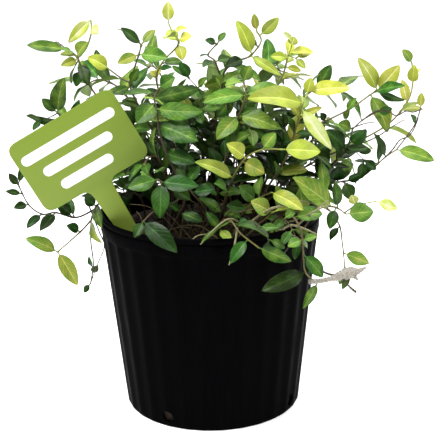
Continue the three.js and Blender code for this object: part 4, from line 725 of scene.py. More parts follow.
class Plant:
    """All stems and leaves as plain numbers.

    The leaves that the solids have come first, in the same order and by the same draws,
    and the small ones that only the looks have fill in between them. The two leaves of a
    pair may touch at their stalks, so OUTER tells which samples still count there.
    """

    OUTER = np.repeat(SAMPLE_PLACES > 0.25, len(SAMPLE_ACROSS))
    HABIT = Habit()
    INNER = InnerStems()

    def __init__(self, shoots: tuple) -> None:
        """Grows the whole plant.

        Args:
            shoots: The stems to grow, in the order of the solids.
        """
        self.shoots = shoots
        self.lines = [self._lines_of(shoot) for shoot in shoots]
        self.leaves: list[list[Leaf]] = [[] for _ in shoots]
        self._lay_stems()
        self._blades = {
            "samples": np.zeros((MOST_LEAVES, len(self.OUTER), 3)),
            "centre": np.zeros((MOST_LEAVES, 3)), "reach": np.zeros(MOST_LEAVES),
            "root": np.zeros((MOST_LEAVES, 3)), "along": np.zeros((MOST_LEAVES, 3)),
            "shoot": np.zeros(MOST_LEAVES, int),
        }
        self._count = 0
        for index in range(len(shoots)):
            self._place_chosen(index, SOLID_SPACING)
        for index in range(len(shoots)):
            self._grow_pairs(index, SOLID_SPACING)
        self.solid_count = sum(len(leaves) for leaves in self.leaves)
        for twig in FINE_TWIGS:
            self._add(Shoot("", (twig,)))
        for index in range(len(self.shoots)):
            self._place_chosen(index, FINE_SPACING)
        for index in range(len(shoots)):
            self._fill_out(index)
        self._raise_inner()

    def _lines_of(self, shoot: Shoot) -> list[np.ndarray]:
        """Each route's points, from the soil or from the route that it grows on.

        Args:
            shoot: The shoot.

        Returns:
            The points of each, one a row.
        """
        lines: list[np.ndarray] = []
        for route in shoot.routes:
            points = np.array(route.points, float)
            if route.foot:
                points = np.vstack([(*route.foot, STEM_FOOT), (*route.foot, route.neck), points])
            if route.on:
                start = curve_point(lines[route.on[0]], route.on[1])
                points = np.vstack([start, points])
            lines.append(points)
        return lines

    def _add(self, shoot: Shoot) -> None:
        """Adds a stem that only the looks have, still without leaves.

        Args:
            shoot: The shoot to add.
        """
        self.shoots = (*self.shoots, shoot)
        self.lines.append(self._lines_of(shoot))
        self.leaves.append([])
        self._lay_stems()

    def _lay_stems(self) -> None:
        """Notes points along every stem, for the spacing."""
        points, owners = [], []
        for index, lines in enumerate(self.lines):
            for line in lines:
                points.append(course(line))
                owners += [index] * len(points[-1])
        self.stem_points = np.concatenate(points)
        self.stem_shoot = np.array(owners)

    @staticmethod
    def _clear_of_planter(points: np.ndarray) -> bool:
        """True where all points keep clear of the pot, the soil and the label.

        Args:
            points: The points, one a row.

        Returns:
            Whether they do.
        """
        x, y, z = points.T
        radius = np.sqrt(x * x + y * y)
        inner, outer = RIM_BAND
        if np.any((radius < inner) & (z < SOIL_TOP + SOIL_CLEAR)):
            return False
        if np.any((radius >= inner) & (radius < outer) & (z < POT_HEIGHT + RIM_CLEAR)):
            return False
        turn = math.radians(LABEL_TILT)
        across, rise = x - LABEL_CENTRE[0], z - LABEL_CENTRE[2]
        a = across * math.cos(turn) + rise * math.sin(turn)
        b = rise * math.cos(turn) - across * math.sin(turn)
        before = y < LABEL_CENTRE[1] + LABEL_FRONT_CLEAR
        board = np.abs(a) < LABEL_WIDTH / 2 + BOARD_CLEAR
        board &= np.abs(b) < LABEL_HEIGHT / 2 + BOARD_CLEAR
        stake = (np.abs(a) < STAKE_TOP_WIDTH / 2 + STAKE_CLEAR) & (b < 0)
        return not np.any(before & (board | stake))

    def fits(self, leaf: Leaf, shoot: int, spacing: Spacing) -> bool:
        """Whether a leaf keeps its distance from everything there is.

        Args:
            leaf: The leaf to try.
            shoot: Number of its shoot.
            spacing: The distances to keep.

        Returns:
            True if it can stay.
        """
        samples, centre, reach = leaf.ball()
        if not self._clear_of_planter(samples):
            return False
        away = ((self.stem_points - leaf.root) ** 2).sum(1)
        own = self.stem_shoot == shoot
        near = ((self.stem_points - centre) ** 2).sum(1) < (reach + spacing.stem) ** 2
        near &= ~(own & (away < OWN_STEM_REACH ** 2))
        if near.any():
            gaps = ((self.stem_points[near][:, None] - samples) ** 2).sum(2).min(1)
            least = np.where(own[near], spacing.own_stem, spacing.stem)
            if np.any(gaps < least * least):
                return False
        blades = {key: value[:self._count] for key, value in self._blades.items()}
        own = blades["shoot"] == shoot
        paired = own & (((blades["root"] - leaf.root) ** 2).sum(1) < PAIR_REACH ** 2)
        if np.any(paired & (blades["along"] @ leaf.along > PAIR_SPREAD)):
            return False
        room = blades["reach"] + reach + spacing.leaf
        near = ((blades["centre"] - centre) ** 2).sum(1) < room * room
        if not near.any():
            return True
        gaps = ((blades["samples"][near][:, :, None] - samples) ** 2).sum(3)
        least = np.where(own[near], spacing.own_leaf, spacing.leaf)
        close = gaps < (least * least)[:, None, None]
        outer = self.OUTER[:, None] & self.OUTER[None, :]
        skipped = paired[near][:, None, None] & ~outer[None]
        return not np.any(close & ~skipped)

    def _keep(self, leaf: Leaf, shoot: int, route: int, position: float) -> None:
        """Adds a leaf that fits.

        Args:
            leaf: The leaf.
            shoot: Number of its shoot.
            route: Number of its route.
            position: Place of its root on the route.
        """
        start, end = self.shoots[shoot].routes[route].age
        share = position / (len(self.lines[shoot][route]) - 1)
        number = len(self.leaves[shoot]) + SHOOT_STEP * shoot
        draw = number * AGE_STEP % 1
        leaf.tint = number * TINT_STEP % 1
        if leaf.age is None:
            grown = start + (end - start) * share
            leaf.age = grown + AGE_SPREAD * (draw - 0.5)
            if leaf.extra:
                leaf.age = draw * float(np.interp(leaf.root[2], EXTRA_HEIGHTS, EXTRA_AGES))
        leaf.route = route
        leaf.position = position
        self.leaves[shoot].append(leaf)
        samples, centre, reach = leaf.ball()
        row = {"samples": samples, "centre": centre, "reach": reach, "root": leaf.root,
               "along": leaf.along, "shoot": shoot}
        for key, value in row.items():
            self._blades[key][self._count] = value
        self._count += 1

    def _place_chosen(self, shoot: int, spacing: Spacing) -> None:
        """Places the leaves that are read from the photograph.

        Args:
            shoot: Number of the shoot.
            spacing: The distances to keep.
        """
        facing = np.array([0, -0.8, 0.6])
        fine = spacing is FINE_SPACING
        for number, route in enumerate(self.shoots[shoot].routes):
            for position, x, y, z, width, age, *turn in route.fine if fine else route.leaves:
                root = curve_point(self.lines[shoot][number], position)
                for shift, more in CHOSEN_TRIES:
                    tip = np.array([x, y + shift, z], float)
                    leaf = Leaf.towards(root, tip, width, facing, sum(turn) + more)
                    leaf.age = age
                    leaf.extra = fine
                    if self.fits(leaf, shoot, spacing):
                        self._keep(leaf, shoot, number, position)
                        break

    def _grow_pairs(self, shoot: int, spacing: Spacing) -> None:
        """Grows the leaves that stand in pairs along the stems.

        Args:
            shoot: Number of the shoot.
            spacing: The distances to keep.
        """
        draws = Draws(PAIRS_SEED * (shoot + 1))
        first, quarter, stray = PAIR_TURNS
        for number, route in enumerate(self.shoots[shoot].routes):
            if not route.pairs:
                continue
            start, end, count, length = route.pairs
            for k in range(count):
                position = start + ((end - start) * k) / max(count - 1, 1)
                base = first + quarter * k + stray * (draws.next() - 0.5)
                for half in (0, 180):
                    draw = draws.several(5)
                    self._grow_leaf(shoot, number, position, base + half, length, draw, spacing)
            if not route.leaves:
                last = len(self.lines[shoot][number]) - 1
                draw = draws.several(5)
                self._grow_leaf(shoot, number, last, quarter, length * TIP_SHARE, draw, spacing)

    def _fill_out(self, shoot: int) -> None:
        """Grows small leaves between the others, for the looks alone.

        Args:
            shoot: Number of the shoot.
        """
        draws = Draws(FILL_SEED * (shoot + 3))
        first, quarter, stray = FILL_TURNS
        for number, line in enumerate(self.lines[shoot]):
            twig = self.shoots[shoot].routes[number].on
            start = FILL_FROM_FORK if twig else FILL_FROM_SOIL
            for k, position in enumerate(np.arange(start, len(line) - FILL_REST, FILL_STEP)):
                base = first + quarter * k + stray * (draws.next() - 0.5)
                for half in (0, 180):
                    draw = draws.several(6)
                    size = FILL_LENGTH[0] + FILL_LENGTH[1] * draw[5]
                    at = curve_point(line, position)
                    if self._depth(at) < 1 and at[2] > self._bare_below(at):
                        self._grow_leaf(
                            shoot, number, position, base + half, size, draw, FINE_SPACING,
                        )

    def _raise_inner(self) -> None:
        """Adds thin stems inside the crown that only the looks have, where they fit."""
        draws = Draws(INNER_SEED)
        inner = self.INNER
        wide, deep = inner.tip_stray
        for _ in range(inner.count):
            for _ in range(inner.tries):
                turn, out = 2 * math.pi * draws.next(), inner.foot_reach * math.sqrt(draws.next())
                root = (round(out * math.cos(turn)), round(out * math.sin(turn)))
                tip = (
                    round(root[0] * inner.tip_spread[0] + inner.lean_right + draws.between(-wide, wide)),
                    round(root[1] * inner.tip_spread[1] + draws.between(-deep, deep)),
                    round(draws.between(*inner.tip_heights)),
                )
                pairs = (*inner.pairs, draws.between(*inner.leaf_lengths))
                shoot = arched_shoot("", root, tip, draws.between(*inner.lift), pairs, inner.radii)
                line = self._lines_of(shoot)[0]
                inside = self._depth(line[-1]) < inner.deepest and tip[1] > FRONT_LIMIT + 4
                if inside and self.open(course(line, SPAN_STEPS * 3 // 2)):
                    self._add(shoot)
                    self._grow_pairs(len(self.shoots) - 1, FINE_SPACING)
                    break

    def open(self, points: np.ndarray, share: float = 1.0) -> bool:
        """Whether a new stem keeps clear of every stem and leaf.

        Args:
            points: Points along it.
            share: The distance to keep as a share of a leafy stem's.

        Returns:
            True if it does.
        """
        blades = self._blades["samples"][:self._count].reshape(-1, 3)
        for others, gap in zip((self.stem_points, blades), NEW_STEM_GAPS):
            least = gap * share
            if ((others[:, None] - points) ** 2).sum(2).min() < least * least:
                return False
        return True

    @staticmethod
    def _bare_below(point: np.ndarray) -> float:
        """Height under which the added leaves leave the stems bare, lower at the back."""
        behind = min(max(float(point[1]) - BARE_FALL_FROM, 0), BARE_FALL_DEPTH)
        return BARE_BELOW - BARE_FALL * behind

    @staticmethod
    def _depth(point: np.ndarray) -> float:
        """Under 1 inside the crown's dense heart, and more outside it."""
        return math.sqrt(float((((point - HEART_CENTRE) / HEART_REACH) ** 2).sum()))

    def _grow_leaf(self, shoot: int, route: int, position: float, angle: float, size: float,
                   draw: list, spacing: Spacing) -> None:
        """Tries a leaf at several angles round its stem and keeps the first that fits.

        Args:
            shoot: Number of the shoot.
            route: Number of the route.
            position: Place of its root on the route.
            angle: Where it stands round the stem, in degrees.
            size: Its length before the draws.
            draw: Random numbers for its shape.
            spacing: The distances to keep.
        """
        habit = self.HABIT
        line = self.lines[shoot][route]
        root = curve_point(line, position)
        tangent = unit(root - curve_point(line, position - 0.05))
        steep = abs(tangent[2]) > 0.97
        level = unit(np.array([1.0, 0, 0]) if steep else np.cross(tangent, [0, 0, 1]))
        lift = np.cross(level, tangent)
        outward = unit(np.array([root[0], root[1] - 5, 0.01]))
        spread = math.radians(habit.spread_degrees[0] + habit.spread_degrees[1] * draw[0])
        away, stray = habit.face_outward, habit.face_stray
        facing = np.array([
            outward[0] * away + stray * (draw[3] - 0.5),
            outward[1] * away - habit.face_forward + stray * (draw[4] - 0.5),
            habit.face_up,
        ])
        full = size * (habit.length_shares[0] + habit.length_shares[1] * draw[2])
        for attempt in range(habit.tries):
            turned = habit.turn_per_try * attempt * (1 if attempt % 2 == 0 else -1)
            around = math.radians(angle + turned)
            sideways = level * math.cos(around) + lift * math.sin(around)
            heading = tangent * math.cos(spread) + sideways * math.sin(spread)
            pushed = heading + outward * habit.pull_outward + np.array([0, 0, -habit.sag * draw[1]])
            length = full * (1 - habit.shorter_per_try * attempt)
            width = length * (habit.width_shares[0] + habit.width_shares[1] * draw[3])
            tip = root + unit(pushed) * length
            leaf = Leaf.towards(root, tip, width, facing, 0)
            leaf.extra = spacing is FINE_SPACING
            outside = self._depth(tip) > 1.04 or tip[2] < self._bare_below(tip) - 6
            if leaf.extra and (outside or tip[1] < FRONT_LIMIT):
                continue
            if self.fits(leaf, shoot, spacing):
                self._keep(leaf, shoot, route, position)
                return


# Meshes


class Skin(Enum):
    """The finishes of a leafy stem's mesh, by material number."""

    STEM = 0
    LEAF = 1


@dataclass
class Weave:
    """A mesh that is put together ring by ring.

    Attributes:
        skins: Material number of each face.
        blade: For each vertex, place along and across its blade, and 1 on the underside.
        growth: For each vertex, age, tint and a number of its own.
    """

    points: list = field(default_factory=list)
    faces: list = field(default_factory=list)
    skins: list = field(default_factory=list)
    blade: list = field(default_factory=list)
    growth: list = field(default_factory=list)
    count: int = 0

    def loft(self, rings: np.ndarray, skin: int, growth: tuple | np.ndarray,
             blade: np.ndarray | None = None, tip: np.ndarray | None = None) -> None:
        """Adds a closed body through rings of points.

        Args:
            rings: Points as ring, point round it, and x, y, z.
            skin: Material number.
            growth: The growth values, the same all over or one set for each ring.
            blade: The blade values, one for each point of the rings, or None.
            tip: A last point that closes the far end, or None for a flat end.
        """
        number, around = rings.shape[:2]
        base = self.count
        self.points.append(rings.reshape(-1, 3))
        total = number * around
        self.blade.append(np.zeros((total, 3)) if blade is None else blade.reshape(-1, 3))
        values = np.broadcast_to(np.array(growth, float), rings.shape).reshape(-1, 3)
        for k in range(number - 1):
            low, high = base + k * around, base + (k + 1) * around
            for i in range(around):
                j = (i + 1) % around
                self.faces.append((low + i, low + j, high + j, high + i))
        self.faces.append(tuple(base + i for i in reversed(range(around))))
        last = base + (number - 1) * around
        added = (number - 1) * around + 2
        if tip is None:
            self.faces.append(tuple(last + i for i in range(around)))
        else:
            self.points.append(tip[None, :])
            self.blade.append(np.array([[1.0, 0.0, 0.0]]))
            values = np.vstack([values, values[-1:]])
            end = base + total
            self.faces += [(last + i, last + (i + 1) % around, end) for i in range(around)]
            total += 1
            added = number * around + 1
        self.skins += [skin] * added
        self.growth.append(values)
        self.count += total

    def mesh(self, name: str, sharp: float) -> bpy.types.Mesh:
        """Makes the Blender mesh, in metres.

        Args:
            name: The mesh's name.
            sharp: Edges that turn more than this many degrees stay sharp.

        Returns:
            The mesh, smooth but for its sharp edges.
        """
        made = bpy.data.meshes.new(name)
        points = np.concatenate(self.points) * MM
        made.from_pydata(points.tolist(), [], self.faces)
        made.polygons.foreach_set("material_index", self.skins)
        for key, rows in (("blade", self.blade), ("growth", self.growth)):
            attribute = made.attributes.new(key, "FLOAT_VECTOR", "POINT")
            attribute.data.foreach_set("vector", np.concatenate(rows).astype(np.float32).ravel())
        made.shade_smooth()
        made.set_sharp_from_angle(angle=math.radians(sharp))
        made.update()
        return made


def stand(name: str, data: bpy.types.ID) -> bpy.types.Object:
    """Adds an object to the scene.

    Args:
        name: Its name.
        data: Its mesh, light or camera.

    Returns:
        The object.
    """
    made = bpy.data.objects.new(name, data)
    bpy.context.scene.collection.objects.link(made)
    return made


def modified(mesh: bpy.types.Mesh, kind: str, settings: dict) -> bpy.types.Mesh:
    """A mesh after one modifier.

    Args:
        mesh: The mesh before it.
        kind: The modifier's type.
        settings: The modifier's settings by name.

    Returns:
        The new mesh.
    """
    holder = stand("holder", mesh)
    modifier = holder.modifiers.new("change", kind)
    for key, value in settings.items():
        setattr(modifier, key, value)
    shown = holder.evaluated_get(bpy.context.evaluated_depsgraph_get())
    made = bpy.data.meshes.new_from_object(shown)
    bpy.data.objects.remove(holder)
    return made


def place(name: str, mesh: bpy.types.Mesh, materials: list, slot: str,
          *nodes: str) -> bpy.types.Object:
    """Puts a mesh in the scene as a piece that rides on the one body.

    Args:
        name: The piece's name.
        mesh: Its mesh, in the part's frame.
        materials: Its materials, by material number.
        slot: The record's material slot; not used.
        *nodes: The CAD nodes it stands for.

    Returns:
        The piece.
    """
    piece = stand(name, mesh)
    for material in materials:
        mesh.materials.append(material)
    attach(piece, BODY)
    if nodes:
        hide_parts(*nodes)
    log.info("%s: %d faces", name, len(mesh.polygons))
    return piece


# Finishes


def linear(code: str) -> tuple:
    """An sRGB hex value as linear red, green, blue and alpha.

    Args:
        code: Six hex digits.

    Returns:
        The four values.
    """
    out = []
    for start in (0, 2, 4):
        value = int(code[start:start + 2], 16) / 255
        out.append(value / 12.92 if value <= 0.04045 else ((value + 0.055) / 1.055) ** 2.4)
    return (*out, 1.0)


def add_node(tree: bpy.types.NodeTree, kind: str, settings: dict | None = None) -> bpy.types.Node:
    """Adds a shader node with its settings and links.

    Args:
        tree: The node tree.
        kind: The node's type name after ShaderNode.
        settings: Values by property name, by socket name or by socket number. A node as the
            value is linked by its first output, and an output socket by itself. The key stops
            holds a ramp's places and hex colours, and the key map a range's ends, from and to.

    Returns:
        The node.
    """
    node = tree.nodes.new("ShaderNode" + kind)
    for key, value in (settings or {}).items():
        if key == "stops":
            ramp = node.color_ramp
            while len(ramp.elements) < len(value):
                ramp.elements.new(1.0)
            for element, (where, code) in zip(ramp.elements, value):
                element.position = where
                element.color = linear(code)
        elif key == "map":
            for name, end in zip(("From Min", "From Max", "To Min", "To Max"), value):
                node.inputs[name].default_value = end
        elif isinstance(value, bpy.types.Node):
            tree.links.new(value.outputs[0], node.inputs[key])
        elif isinstance(value, bpy.types.NodeSocket):
            tree.links.new(value, node.inputs[key])
        elif isinstance(key, int) or key in node.inputs:
            node.inputs[key].default_value = value
        else:
            setattr(node, key, value)
    return node


@dataclass(frozen=True)
class Finish:
    """A material made of nodes, named for the real one."""

    name: str

    def material(self) -> bpy.types.Material:
        """Builds the material.

        Returns:
            The material.
        """
        material = bpy.data.materials.new(self.name)
        material.use_nodes = True
        tree = material.node_tree
        tree.nodes.clear()
        output = tree.nodes.new("ShaderNodeOutputMaterial")
        shader = self.surface(partial(add_node, tree))
        tree.links.new(shader.outputs[0], output.inputs["Surface"])
        return material

    def surface(self, add: Callable) -> bpy.types.Node:
        """Adds the finish's nodes and returns its shader."""
        raise NotImplementedError


@dataclass(frozen=True)
class WaxyLeaf(Finish):
    """Asiatic jasmine leaf: a thick blade under a smooth waxy cuticle.

    The cuticle gives it a clear sheen with soft edges. Old leaves are deep green with a
    pale midrib, and new ones are lime. The underside is paler and dull.

    Attributes:
        ages: Colours from an old leaf to one just opened.
        hues: Hue shift of the bluest and the yellowest leaf.
        tones: Brightness of the darkest and the lightest leaf.
        patches: How much younger or older a patch is than its leaf.
        ages_across: How much younger its middle and its margin are.
        rib: Half widths of the midrib's edge and of its full tone, as shares of the blade's.
        vein_tones: Strength of the veins in an old and in a young leaf.
    """

    name: str = "waxy_jasmine_leaf"
    ages: tuple = (
        (0.0, "182d0c"), (0.22, "2c5218"), (0.42, "5f802b"), (0.6, "868f38"), (0.8, "9da838"),
        (0.9, "adb454"), (1.0, "bcc188"),
    )
    hues: tuple = (0.475, 0.515)
    tones: tuple = (0.8, 1.25)
    patch_mm: float = 7.0
    patches: float = 0.1
    ages_across: tuple = (0.06, -0.08)
    rib: tuple = (0.085, 0.02)
    rib_tone: float = 1.9
    vein_pairs: float = 7.0
    vein_slant: float = 0.32
    vein_tones: tuple = (0.42, 0.12)
    relief_mm: float = 0.3
    underside: str = "8fa765"
    roughness: float = 0.36
    under_roughness: float = 0.55
    ior: float = 1.45
    specular: float = 0.12
    coat: float = 0.05
    coat_roughness: float = 0.2

    def surface(self, add: Callable) -> bpy.types.Node:
        """Adds the nodes: the flesh by age, then midrib and veins, then the underside.

        Args:
            add: Adds a node to the material.

        Returns:
            The shader.
        """
        blade = add("Attribute", {"attribute_name": "blade"})
        growth = add("Attribute", {"attribute_name": "growth"})
        at = add("SeparateXYZ", {0: blade.outputs["Vector"]}).outputs
        own = add("SeparateXYZ", {0: growth.outputs["Vector"]}).outputs
        spot = add("TexCoord").outputs["Object"]
        mottle = add("TexNoise", {"Scale": 1 / (self.patch_mm * MM), "Detail": 3.0, "Vector": spot})
        patches = add("MapRange", {"map": (0.3, 0.7, -self.patches, self.patches), "Value": mottle})
        aged = add("Math", {"operation": "ADD", 0: own["X"], 1: patches})
        across = add("Math", {"operation": "ABSOLUTE", 0: at["Y"]})
        middle, margin = self.ages_across
        younger = add("MapRange", {"map": (0, 1, middle, margin), "Value": across})
        aged = add("Math", {"operation": "ADD", 0: aged, 1: younger})
        flesh = add("ValToRGB", {"stops": self.ages, "Fac": aged})
        low, high = self.hues
        hue = add("MapRange", {"map": (0, 1, low, high), "Value": own["Y"]})
        low, high = self.tones
        tone = add("MapRange", {"map": (0, 1, low, high), "Value": own["Z"]})
        varied = add("HueSaturation", {"Hue": hue, "Value": tone, "Color": flesh})
        edge, full = self.rib
        rib = add("MapRange", {
            "interpolation_type": "SMOOTHSTEP", "map": (edge, full, 0, 0.85), "Value": across,
        })
        slant = add("Math", {"operation": "MULTIPLY_ADD", 0: across, 1: -self.vein_slant, 2: at["X"]})
        order = add("Math", {"operation": "MULTIPLY", 0: slant, 1: self.vein_pairs})
        saw = add("Math", {"operation": "PINGPONG", 0: order, 1: 0.5})
        old, young = self.vein_tones
        shown = add("MapRange", {"map": (0.45, 0.72, old, young), "Value": own["X"]})
        vein = add("MapRange", {
            "interpolation_type": "SMOOTHSTEP", "From Min": 0.18, "From Max": 0.0, "To Max": shown,
            "Value": saw,
        })
        lines = add("Math", {"operation": "MAXIMUM", 0: rib, 1: vein})
        pale = add("HueSaturation", {"Saturation": 0.85, "Value": self.rib_tone, "Color": varied})
        ribbed = add("Mix", {"data_type": "RGBA", 0: lines, 6: varied, 7: pale})
        under = add("Math", {"operation": "MULTIPLY", 0: at["Z"], 1: 0.5})
        colour = add("Mix", {
            "data_type": "RGBA", 0: under, 6: ribbed.outputs[2], 7: linear(self.underside),
        })
        rough = add("MapRange", {
            "map": (0, 1, self.roughness, self.under_roughness), "Value": at["Z"],
        })
        relief = add("Math", {"operation": "MULTIPLY_ADD", 0: lines, 1: -1.0, 2: mottle})
        bump = add("Bump", {"Strength": 0.5, "Distance": self.relief_mm * MM, "Height": relief})
        return add("BsdfPrincipled", {
            "IOR": self.ior, "Specular IOR Level": self.specular, "Coat Weight": self.coat,
            "Coat Roughness": self.coat_roughness, "Base Color": colour.outputs[2],
            "Roughness": rough, "Normal": bump,
        })


@dataclass(frozen=True)
class TwiningStem(Finish):
    """Young wood of the vine: thin red-brown bark that is green where it is new.

    The bark is dull with fine lengthwise streaks, and the new growth is a little waxy.
    """

    name: str = "twining_jasmine_stem"
    ages: tuple = ((0.0, "2e2118"), (0.3, "4a3a22"), (0.55, "6b6a2c"), (1.0, "a3b44a"))
    roughness: float = 0.55
    streak_mm: float = 0.8
    streaks: float = 0.15
    relief: float = 0.4
    ior: float = 1.45

    def surface(self, add: Callable) -> bpy.types.Node:
        """Adds the nodes: bark by age, shifted by the streaks.

        Args:
            add: Adds a node to the material.

        Returns:
            The shader.
        """
        growth = add("Attribute", {"attribute_name": "growth"})
        own = add("SeparateXYZ", {0: growth.outputs["Vector"]}).outputs
        spot = add("TexCoord").outputs["Object"]
        streaks = add("TexNoise", {"Scale": 1 / (self.streak_mm * MM), "Detail": 2.0, "Vector": spot})
        shift = add("MapRange", {"map": (0.3, 0.7, -self.streaks, self.streaks), "Value": streaks})
        aged = add("Math", {"operation": "ADD", 0: own["X"], 1: shift})
        bark = add("ValToRGB", {"stops": self.ages, "Fac": aged})
        bump = add("Bump", {"Strength": self.relief, "Distance": 0.1 * MM, "Height": streaks})
        return add("BsdfPrincipled", {
            "IOR": self.ior, "Roughness": self.roughness, "Base Color": bark, "Normal": bump,
        })


@dataclass(frozen=True)
class MouldedPot(Finish):
    """Recycled black polypropylene, blow-moulded.

    It gives a soft broad sheen, with faint upright streaks from the mould. A little pale grey
    is painted in the streaks, partly dust and partly painted sheen.
    """

    name: str = "moulded_polypropylene"
    colour: str = "050506"
    # Pale grey painted in the streaks, partly dust and partly painted sheen, and its largest share
    dust_and_sheen: str = "171415"
    most_sheen_and_dust: float = 0.12
    roughness: float = 0.45
    smoother: float = 0.08
    rougher: float = 0.12
    ior: float = 1.49
    specular: float = 0.004
    streak_mm: float = 3.0
    pit_mm: float = 1.2

    def surface(self, add: Callable) -> bpy.types.Node:
        """Adds the nodes: dust with painted sheen, and gloss, by the streaks, and a fine pitted skin.

        Args:
            add: Adds a node to the material.

        Returns:
            The shader.
        """
        spot = add("TexCoord").outputs["Object"]
        stretched = add("Mapping", {"Scale": (1.0, 1.0, 0.06), "Vector": spot})
        streaks = add("TexNoise", {
            "Scale": 1 / (self.streak_mm * MM), "Detail": 4.0, "Vector": stretched,
        })
        pits = add("TexNoise", {"Scale": 1 / (self.pit_mm * MM), "Detail": 2.0, "Vector": spot})
        glossy, dull = self.roughness - self.smoother, self.roughness + self.rougher
        rough = add("MapRange", {"map": (0.3, 0.7, glossy, dull), "Value": streaks})
        # Painted sheen with a little dust: pale grey mixed in where the streaks are strong
        sheen_and_dust_share = add("MapRange", {"map": (0.5, 0.8, 0, self.most_sheen_and_dust), "Value": streaks})
        colour = add("Mix", {
            "data_type": "RGBA", 0: sheen_and_dust_share, 6: linear(self.colour), 7: linear(self.dust_and_sheen),
        })
        bump = add("Bump", {"Strength": 0.25, "Distance": 0.2 * MM, "Height": pits})
        return add("BsdfPrincipled", {
            "IOR": self.ior, "Specular IOR Level": self.specular, "Base Color": colour.outputs[2],
            "Roughness": rough, "Normal": bump,
        })


@dataclass(frozen=True)
class BarkMix(Finish):
    """Damp composted bark and peat: very dark, rough crumbs with paler worn faces."""

    name: str = "bark_mix"
    dark: str = "0b0806"
    pale: str = "3a2a1f"
    roughness: float = 0.85
    crumb_mm: float = 2.5
    relief_mm: float = 0.8
    ior: float = 1.4

    def surface(self, add: Callable) -> bpy.types.Node:
        """Adds the nodes: a tone for each chip, broken up by crumbs.

        Args:
            add: Adds a node to the material.

        Returns:
            The shader.
        """
        growth = add("Attribute", {"attribute_name": "growth"})
        own = add("SeparateXYZ", {0: growth.outputs["Vector"]}).outputs
        spot = add("TexCoord").outputs["Object"]
        crumbs = add("TexNoise", {
            "Scale": 1 / (self.crumb_mm * MM), "Detail": 6.0, "Roughness": 0.65, "Vector": spot,
        })
        lift = add("Math", {"operation": "MULTIPLY_ADD", 0: own["Y"], 1: 0.5, 2: crumbs})
        stops = ((0.4, self.dark), (1.0, self.pale))
        shade = add("ValToRGB", {"stops": stops, "Fac": lift})
        bump = add("Bump", {"Strength": 0.8, "Distance": self.relief_mm * MM, "Height": crumbs})
        return add("BsdfPrincipled", {
            "IOR": self.ior, "Roughness": self.roughness, "Base Color": shade, "Normal": bump,
        })


@dataclass(frozen=True)
class PrintedSheet(Finish):
    """Polystyrene label sheet, printed in one ink: smooth, flat and nearly matt.

    Attributes:
        low: Colour at the board's foot, a little lighter than at its top.
        high: Colour at its top, darker: painted shade, as the print is one flat ink.
        painted_shade_fade: Heights between which it changes from low to high, in metres.
    """

    low: str
    high: str
    # Painted shade: the board is made darker towards its top, though its print is one flat ink
    painted_shade_fade: tuple = (0.15, 0.24)
    roughness: float = 0.5
    grain_mm: float = 0.9
    ior: float = 1.55
    specular: float = 0.2

    def surface(self, add: Callable) -> bpy.types.Node:
        """Adds the nodes: painted shade that darkens the board towards its top, and the sheet's faint grain.

        Args:
            add: Adds a node to the material.

        Returns:
            The shader.
        """
        spot = add("TexCoord").outputs["Object"]
        height = add("SeparateXYZ", {0: spot}).outputs["Z"]
        start, end = self.painted_shade_fade
        # Painted shade: the colour darkens towards the board's top
        painted_shade_fade = add("MapRange", {"map": (start, end, 0, 1), "Value": height})
        colour = add("Mix", {"data_type": "RGBA", 0: painted_shade_fade, 6: linear(self.low), 7: linear(self.high)})
        grain = add("TexNoise", {"Scale": 1 / (self.grain_mm * MM), "Detail": 2.0, "Vector": spot})
        rough = add("MapRange", {
            "map": (0, 1, self.roughness - 0.05, self.roughness + 0.08), "Value": grain,
        })
        bump = add("Bump", {"Strength": 0.06, "Distance": 0.05 * MM, "Height": grain})
        return add("BsdfPrincipled", {
            "IOR": self.ior, "Specular IOR Level": self.specular, "Base Color": colour.outputs[2],
            "Roughness": rough, "Normal": bump,
        })


@dataclass(frozen=True)
class PaleSweep(Finish):
    """Matte white backdrop paper on a light table, bright enough to lose its shadows."""

    name: str = "pale_sweep"
    colour: str = "f4f4f2"
    glow: float = 0.52
    roughness: float = 0.8
    grains_per_metre: float = 300.0

    def surface(self, add: Callable) -> bpy.types.Node:
        """Adds the nodes: an even glow and a faint grain.

        Args:
            add: Adds a node to the material.

        Returns:
            The shader.
        """
        spot = add("TexCoord").outputs["Object"]
        grain = add("TexNoise", {"Scale": self.grains_per_metre, "Detail": 2.0, "Vector": spot})
        bump = add("Bump", {"Strength": 0.05, "Distance": 0.1 * MM, "Height": grain})
        return add("BsdfPrincipled", {
            "Base Color": linear(self.colour), "Roughness": self.roughness, "Normal": bump,
            "Emission Color": (1.0, 1.0, 1.0, 1.0), "Emission Strength": self.glow,
        })


# Pieces


# Roughly where a tube's rings start, a direction that no stem runs in
RING_START = np.array([0.3, 1.0, 0.2])


def tube(points: np.ndarray, radii: np.ndarray, around: int) -> np.ndarray:
    """Rings round a line, turned as little as can be from one to the next.

    Args:
        points: The line's points.
        radii: The radius at each.
        around: Points round each ring.

    Returns:
        The rings.
    """
    tangents = np.gradient(points, axis=0)
    normal = RING_START
    angles = 2 * np.pi * np.arange(around)[:, None] / around
    rings = []
    for point, tangent, radius in zip(points, tangents, radii):
        tangent = unit(tangent)
        normal = unit(normal - tangent * float(normal @ tangent))
        other = np.cross(tangent, normal)
        rings.append(point + radius * (np.cos(angles) * normal + np.sin(angles) * other))
    return np.array(rings)


